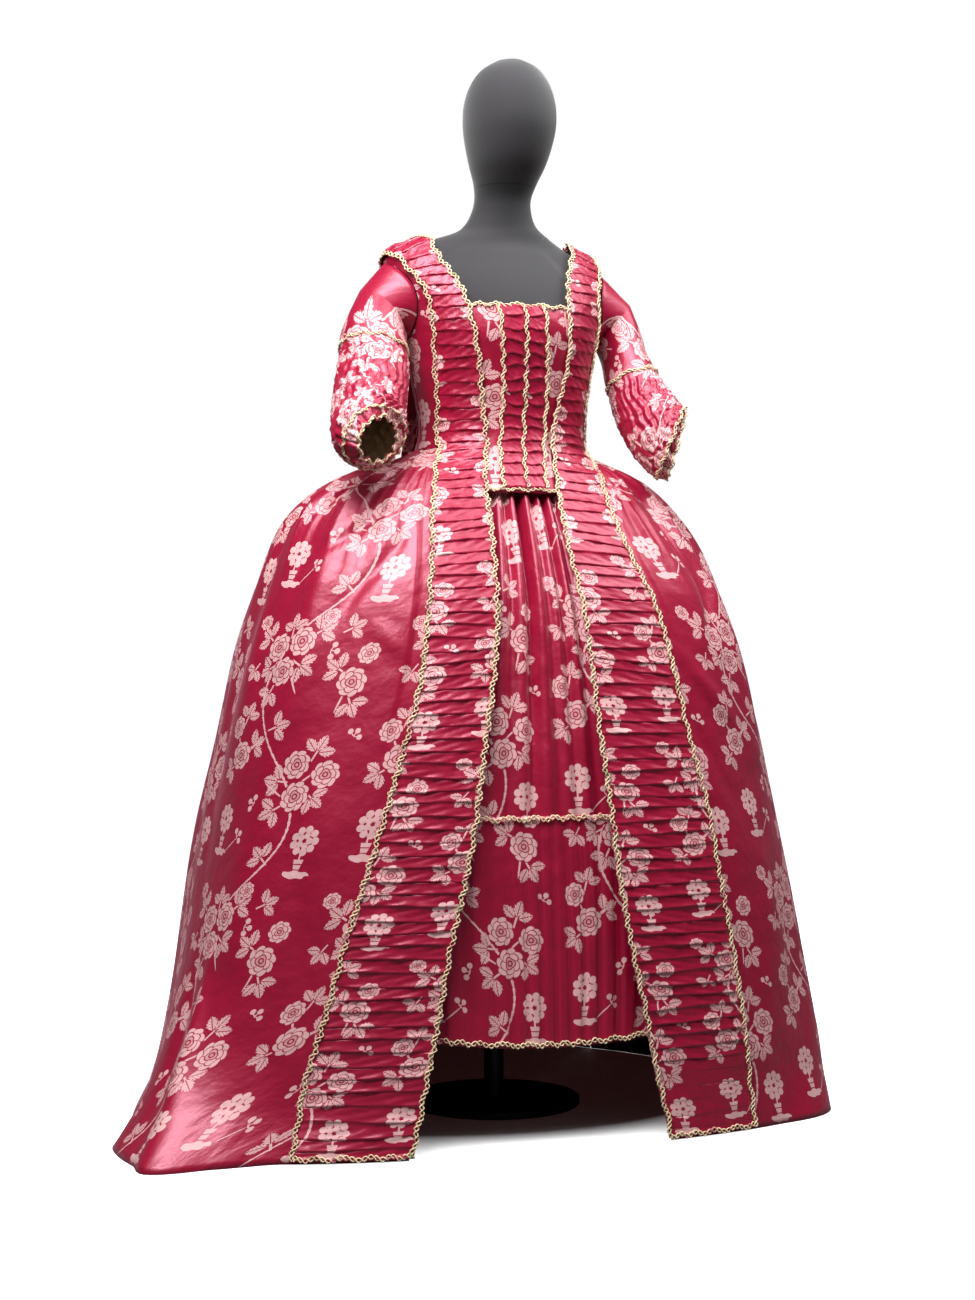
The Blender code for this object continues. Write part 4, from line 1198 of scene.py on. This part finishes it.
def sleeve_points(rings, side, gathers, down, angle, extra=0.0):
    """Points of a sleeve. down is 0 at the armhole, FIRST_RING at the first ring and 1 at the cuff."""
    centres, sizes, aheads, ups = sleeve_frame(rings, side)
    share = ramp(down, FIRST_RING, 1.0)
    centre, size = between(centres, share), between(sizes, share)
    ahead, up = between(aheads, share), between(ups, share)
    ahead /= np.linalg.norm(ahead, axis=-1, keepdims=True)
    up /= np.linalg.norm(up, axis=-1, keepdims=True)
    below = ramp(share, gathers, gathers + 0.06)
    crimp = np.sin(angle * 25 + 2.5 * ripple(angle * 2, share * 14, 1.0))
    crinkle = ripple(angle * 9, share * 62 + 1.5 * np.sin(angle * 5), side)
    out = extra + 0.0014 * below * crimp + 0.0016 * below * crinkle
    out = out + 0.0016 * (1 - below) * ripple(angle * 3, share * 12, 4)
    rim = ramp(share, 0.90, 1.0)
    out = out - 0.003 * rim * np.cos(CUFF_WAVES * angle + 0.8 * np.sin(angle * 2)) - 0.011 * rim
    tube = (
        centre + ahead * (np.sin(angle) * (size[..., 1] + out))[..., None]
        + up * (np.cos(angle) * (size[..., 0] + out))[..., None]
    )
    z = ARMHOLE_Z + ARMHOLE_RADIUS * np.cos(angle)
    hole = body(side * armhole_turn(z, np.sin(angle) < 0), z, SLEEVE_LIFT)
    blend = ramp(down, 0.0, FIRST_RING)[..., None]
    return hole * (1 - blend) + tube * blend


def sleeve(name, rings, side, gathers):
    """A lined elbow sleeve, gathered below a band, with a wavy cuff."""
    angle, down = np.meshgrid(np.linspace(0, 2 * pi, SLEEVE_COLUMNS), np.linspace(0, 1, 100))
    points = sleeve_points(rings, side, gathers, down, angle)
    places = cloth_map(points) * (1.0, -1.0) - (0.05, 0.0)
    return sheet_object(name, points, places, ["satin_brocade", "sleeve_lining"], closed=True)


# Trimming
def wavy(curve, points, out, half_wave, height):
    """Two strands that cross and part along a line, like a looped gimp."""
    run = np.concatenate([[0], np.cumsum(np.linalg.norm(np.diff(points, axis=0), axis=1))])
    wave = settings().gimp_wave
    count = max(int(run[-1] / wave * POINTS_A_LOOP), 8)
    at = np.linspace(0, run[-1], count)
    line = np.stack([np.interp(at, run, points[:, k]) for k in range(3)], axis=1)
    outward = np.stack([np.interp(at, run, out[:, k]) for k in range(3)], axis=1)
    outward /= np.linalg.norm(outward, axis=1, keepdims=True)
    tangent = np.gradient(line, axis=0)
    tangent /= np.maximum(np.linalg.norm(tangent, axis=1, keepdims=True), 1e-9)
    side = np.cross(tangent, outward)
    phase = 2 * pi * at / wave + 0.8 * np.sin(at * 37)
    for flip in (1, -1):
        sway = flip * half_wave * np.sin(phase) + 0.0021 * np.sin(at * 205 + 2 * np.sin(at * 31))
        bob = height + 0.0008 * flip * np.cos(phase)
        strand = line + side * sway[:, None] + outward * bob[:, None] + np.array(AXIS)
        spline = curve.splines.new("POLY")
        spline.points.add(count - 1)
        spline.points.foreach_set("co", np.c_[strand, np.ones(count)].astype(np.float32).ravel())


def gimp(name, lines, half_wave=0.0032, height=0.0016):
    """Looped gimp along lines of points, each with its outward directions."""
    curve = bpy.data.curves.new(name, "CURVE")
    curve.dimensions = "3D"
    curve.bevel_depth = GIMP_THREAD
    curve.bevel_resolution = 0
    curve.use_fill_caps = True
    for points, out in lines:
        wavy(curve, points, out, half_wave, height)
    made = linked(name, curve)
    curve.materials.append(shared("gimp"))
    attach(made, "root")
    return made


def surface_line(turn, z, lift):
    """A line on the body, and its outward directions."""
    return body(turn, z, lift), normal(turn, z)


def robing_gimp(name, rows, side):
    """Gimp along a robing's two edges and across its hem."""
    path = robing_edges(rows, side)
    down = np.linspace(0.0, 1.0, 500)
    lift = ROBING_LIFT + settings().tuck * 0.55
    lines = [surface_line(*on_robing(path, 0 * down + edge, down), lift) for edge in GIMP_SHARES]
    across = np.linspace(*GIMP_SHARES, 60)
    lines.append(surface_line(*on_robing(path, across, 0 * across + 0.997), lift - 0.001))
    return gimp(name, lines)


def stomacher_gimp(name):
    """Gimp along the stomacher's strips, its upper edge and its lower one."""
    z = np.linspace(STOMACHER_BOTTOM + 0.006, STOMACHER_TOP - 0.003, 120)
    lines = []
    for edge in ("right", "middle", "left"):
        lines.append(surface_line(turn_at(smooth(STRIPS, edge, z), z), z, STRIP_LIFT + GIMP_THREAD))
    top, low = STOMACHER_TOP - 0.002, STOMACHER_BOTTOM + 0.004
    for height, start, end, count in ((top, -0.092, 0.070, 60), (low, -0.066, 0.040, 40)):
        x = np.linspace(start, end, count)
        lines.append(surface_line(turn_at(x, height), np.full(count, height), GIMP_THREAD))
    return gimp(name, lines, half_wave=0.0023)


def petticoat_gimp(name):
    """Gimp at the top of the flounce and along its hem."""
    turn = 60 * np.linspace(-1, 1, 260)
    top = 0 * turn + FLOUNCE_TOP - 0.004
    hem = petticoat_hem(turn, FLOUNCE_TOP) + 0.005
    lines = []
    for z, lift in ((top, 0.0022), (hem, 0.0052)):
        lines.append((petticoat_surface(turn, z, FLOUNCE_LIFT + lift), normal(turn, z)))
    return gimp(name, lines)


def sleeve_gimp(name, rings, side, gathers):
    """Gimp round the band above the gathers and twice round the cuff."""
    angle = np.linspace(0, 2 * pi, 220)
    lines = []
    for place in (FIRST_RING + (1 - FIRST_RING) * gathers, 0.915, 0.992):
        points = sleeve_points(rings, side, gathers, 0 * angle + place, angle, GIMP_THREAD)
        out = points - points[:-1].mean(axis=0)
        lines.append((points, out))
    return gimp(name, lines, half_wave=0.0024, height=0.001)


# Form and stand
def dress_form(name):
    """Smooth torso with a plain egg-shaped head."""
    turn = np.linspace(-180, 180, FORM_COLUMNS)
    s, c = np.sin(np.radians(turn)), np.cos(np.radians(turn))
    rings = []
    for row in FORM_HIPS + FORM_CLOTHED + FORM_HEAD:
        if isinstance(row, float):
            tip = (np.abs(np.abs(turn) - 90) < 40) & (1.33 < row < 1.39)
            rings.append(body(turn, row, -np.where(tip, SHOULDER_CLEARANCE, FORM_CLEARANCE)))
            continue
        reach = ((s / row.half_width) ** 2 + (c / np.where(c > 0, row.front, row.back)) ** 2) ** -0.5
        rings.append(np.stack([reach * s, row.y - reach * c, 0 * s + row.z], axis=-1))
    grown = between(np.array(rings), np.linspace(0, 1, 4 * len(rings)))
    foot = np.broadcast_to((0, 0, FORM_HIPS[0].z), (1, FORM_COLUMNS, 3))
    crown = np.broadcast_to((0, FORM_HEAD[-1].y, FORM_TOP_Z), (1, FORM_COLUMNS, 3))
    points = np.concatenate([foot, grown, crown])
    return sheet_object(name, points, cloth_map(points), ["form_jersey"], wall=None, closed=True)


def turned(name, radius, low, high, bevel):
    """A round steel piece of the stand."""
    bm = bmesh.new()
    bmesh.ops.create_cone(bm, cap_ends=True, segments=96, radius1=radius, radius2=radius, depth=high - low)
    bmesh.ops.translate(bm, verts=bm.verts, vec=AXIS + Vector((0, POLE_Y, (low + high) / 2)))
    mesh = mesh_of(name, bm)
    mesh.shade_smooth()
    mesh.set_sharp_from_angle(angle=radians(40))
    made = linked(name, mesh)
    mesh.materials.append(shared("stand_paint"))
    rounded = made.modifiers.new("edge", "BEVEL")
    rounded.width = bevel
    rounded.segments = 3
    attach(made, "root")
    return made


def colour_setting(name, description, default):
    """A colour that a user would change."""
    return FloatVectorProperty(name=name, description=description, subtype="COLOR", default=default)


def length_setting(name, description, default, least, most):
    """A length that a user would change."""
    return FloatProperty(
        name=name, description=description, default=default, min=least, max=most, unit="LENGTH"
    )


class GownSettings(bpy.types.PropertyGroup):
    """Sizes and colours of the gown"""

    ground: colour_setting("Ground", "Colour of the satin ground", (0.35, 0.0016, 0.032))
    motif: colour_setting("Flowers", "Colour of the woven flowers", (0.76, 0.45, 0.45))
    gimp: colour_setting("Gimp", "Colour of the looped gimp", (0.80, 0.63, 0.40))
    tuck: length_setting("Tuck", "Height of the robings' tucks", 0.0020, 0.001, 0.01)
    pleat: length_setting("Pleat", "Depth of the waist pleats", 0.009, 0.001, 0.02)
    gimp_wave: length_setting("Gimp wave", "Length of one loop of gimp", 0.0165, 0.004, 0.04)


class GOWN_OT_form(bpy.types.Operator):
    """Adds the dress form and its stand"""

    bl_idname = "gown.form"
    bl_label = "Add form"

    def execute(self, context):
        made = dress_form("form_body")
        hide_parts("dress_form")
        pole = turned("form_pole", POLE_RADIUS, BASE_THICKNESS, FORM_HIPS[0].z - 0.0003, 0.0005)
        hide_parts("stand_pole")
        base = turned("form_base", BASE_RADIUS, 0.0, BASE_THICKNESS, 0.003)
        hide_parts("stand_base")
        return {"FINISHED"}


def declare(made, node):
    """Hides the solid that a sheet stands for. The sheet, made, is not used."""
    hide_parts(node)


class GOWN_OT_petticoat(bpy.types.Operator):
    """Adds the petticoat, its flounce and its gimp"""

    bl_idname = "gown.petticoat"
    bl_label = "Add petticoat"

    def execute(self, context):
        declare(petticoat_back("under_back"), "petticoat_back")
        declare(petticoat_front("under_front"), "petticoat_front")
        trim = petticoat_gimp("under_gimp")
        flounce = petticoat_flounce("under_flounce")
        declare(flounce, "petticoat_flounce")
        return {"FINISHED"}


class GOWN_OT_bodice(bpy.types.Operator):
    """Adds the fitted bodice, the stomacher with its ruching, and the sleeves"""

    bl_idname = "gown.bodice"
    bl_label = "Add bodice"

    def execute(self, context):
        for side, word, rows in ((-1, "right", RIGHT_ROBING), (1, "left", LEFT_ROBING)):
            back = fitted(f"back_{word}", rows, side, True)
            declare(back, f"bodice_back_{word}")
            front = fitted(f"front_{word}", rows, side, False)
            declare(front, f"bodice_front_{word}")
        panel = stomacher("stomacher_panel")
        declare(panel, "stomacher")
        strips = (("right", "right", "middle"), ("left", "middle", "left"))
        for word, right_edge, left_edge in strips:
            strip = ruched_strip(f"ruching_{word}", right_edge, left_edge)
            declare(strip, f"stomacher_ruching_{word}")
        stomacher_gimp("stomacher_gimp")
        sleeves = (("right", -1, RIGHT_SLEEVE, RIGHT_GATHERS), ("left", 1, LEFT_SLEEVE, LEFT_GATHERS))
        for word, side, rings, gathers in sleeves:
            trim = sleeve_gimp(f"sleeve_gimp_{word}", rings, side, gathers)
            tube = sleeve(f"arm_{word}", rings, side, gathers)
            declare(tube, f"sleeve_{word}")
        return {"FINISHED"}


class GOWN_OT_skirt(bpy.types.Operator):
    """Adds the skirt sides, the sack back and the robings"""

    bl_idname = "gown.skirt"
    bl_label = "Add skirt and back"

    def execute(self, context):
        other = [r._replace(turn=r.turn + 7, lean=-0.8 * r.lean, z=r.z - 0.04) for r in SIDE_CREASES]
        sides = ((-1, "right", RIGHT_ROBING, SIDE_CREASES, 0.0), (1, "left", LEFT_ROBING, other, 1.0))
        for side, word, rows, creases, plain_end in sides:
            panel = skirt_side(f"skirt_{word}", rows, side, creases)
            declare(panel, f"skirt_side_{word}")
            trim = robing_gimp(f"robing_gimp_{word}", rows, side)
            strip = robing(f"robe_edge_{word}", rows, side, plain_end)
            declare(strip, f"robing_{word}")
        back = sack_back("sack_panel")
        declare(back, "sack_back")
        return {"FINISHED"}


class GOWN_OT_stage(bpy.types.Operator):
    """Adds the floor, the lights and the camera"""

    bl_idname = "gown.stage"
    bl_label = "Add stage"

    def execute(self, context):
        scene = context.scene
        bm = bmesh.new()
        bmesh.ops.create_grid(bm, x_segments=1, y_segments=1, size=30.0)
        mesh = mesh_of("floor", bm)
        floor = linked("floor", mesh)
        mesh.materials.append(floor_paper("floor_paper"))
        world = bpy.data.worlds.new("studio")
        scene.world = world
        world.use_nodes = True
        soft = world.node_tree.nodes["Background"]
        fix(soft, Strength=0.07, Color=WHITE)
        white = world.node_tree.nodes.new("ShaderNodeBackground")
        fix(white, Color=WHITE)
        seen_by_camera(world.node_tree, soft, white, "World Output")
        target = AXIS + Vector((0, 0, 0.9))
        for name, kind, place, power, size in LAMPS:
            light = bpy.data.lights.new(name, kind)
            light.energy = power
            setattr(light, "angle" if kind == "SUN" else "size", size)
            lamp = linked(name, light)
            lamp.location = AXIS + Vector(place)
            lamp.rotation_euler = (lamp.location - target).to_track_quat("Z", "Y").to_euler()
        camera = bpy.data.cameras.new("camera")
        camera.sensor_width, camera.lens = 36.0, CAMERA_LENS
        seen = linked("camera", camera)
        away = Vector((sin(CAMERA_TURN), -cos(CAMERA_TURN), 0)) * CAMERA_DISTANCE
        seen.location = AXIS + away + Vector((0, 0, CAMERA_HEIGHT))
        seen.rotation_euler = (radians(90), 0, CAMERA_TURN + CAMERA_YAW)
        scene.camera = seen
        scene.view_settings.view_transform = "Standard"
        return {"FINISHED"}


class GOWN_PT_panel(bpy.types.Panel):
    bl_idname = "GOWN_PT_panel"
    bl_label = "Robe a la francaise"
    bl_space_type = "VIEW_3D"
    bl_region_type = "UI"
    bl_category = "Gown"

    def draw(self, context):
        layout = self.layout
        for name in ("ground", "motif", "gimp", "tuck", "pleat", "gimp_wave"):
            layout.prop(context.scene.gown, name)
        for word in ("form", "petticoat", "bodice", "skirt", "stage"):
            layout.operator("gown." + word)


CLASSES = (
    GownSettings,
    GOWN_OT_form,
    GOWN_OT_petticoat,
    GOWN_OT_bodice,
    GOWN_OT_skirt,
    GOWN_OT_stage,
    GOWN_PT_panel,
)


def register():
    for made in CLASSES:
        bpy.utils.register_class(made)
    bpy.types.Scene.gown = PointerProperty(type=GownSettings)


def unregister():
    del bpy.types.Scene.gown
    for made in reversed(CLASSES):
        bpy.utils.unregister_class(made)


def main():
    register()
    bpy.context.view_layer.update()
    bpy.ops.gown.form()
    bpy.ops.gown.petticoat()
    bpy.ops.gown.bodice()
    bpy.ops.gown.skirt()
    bpy.ops.gown.stage()


if __name__ == "__main__":
    main()
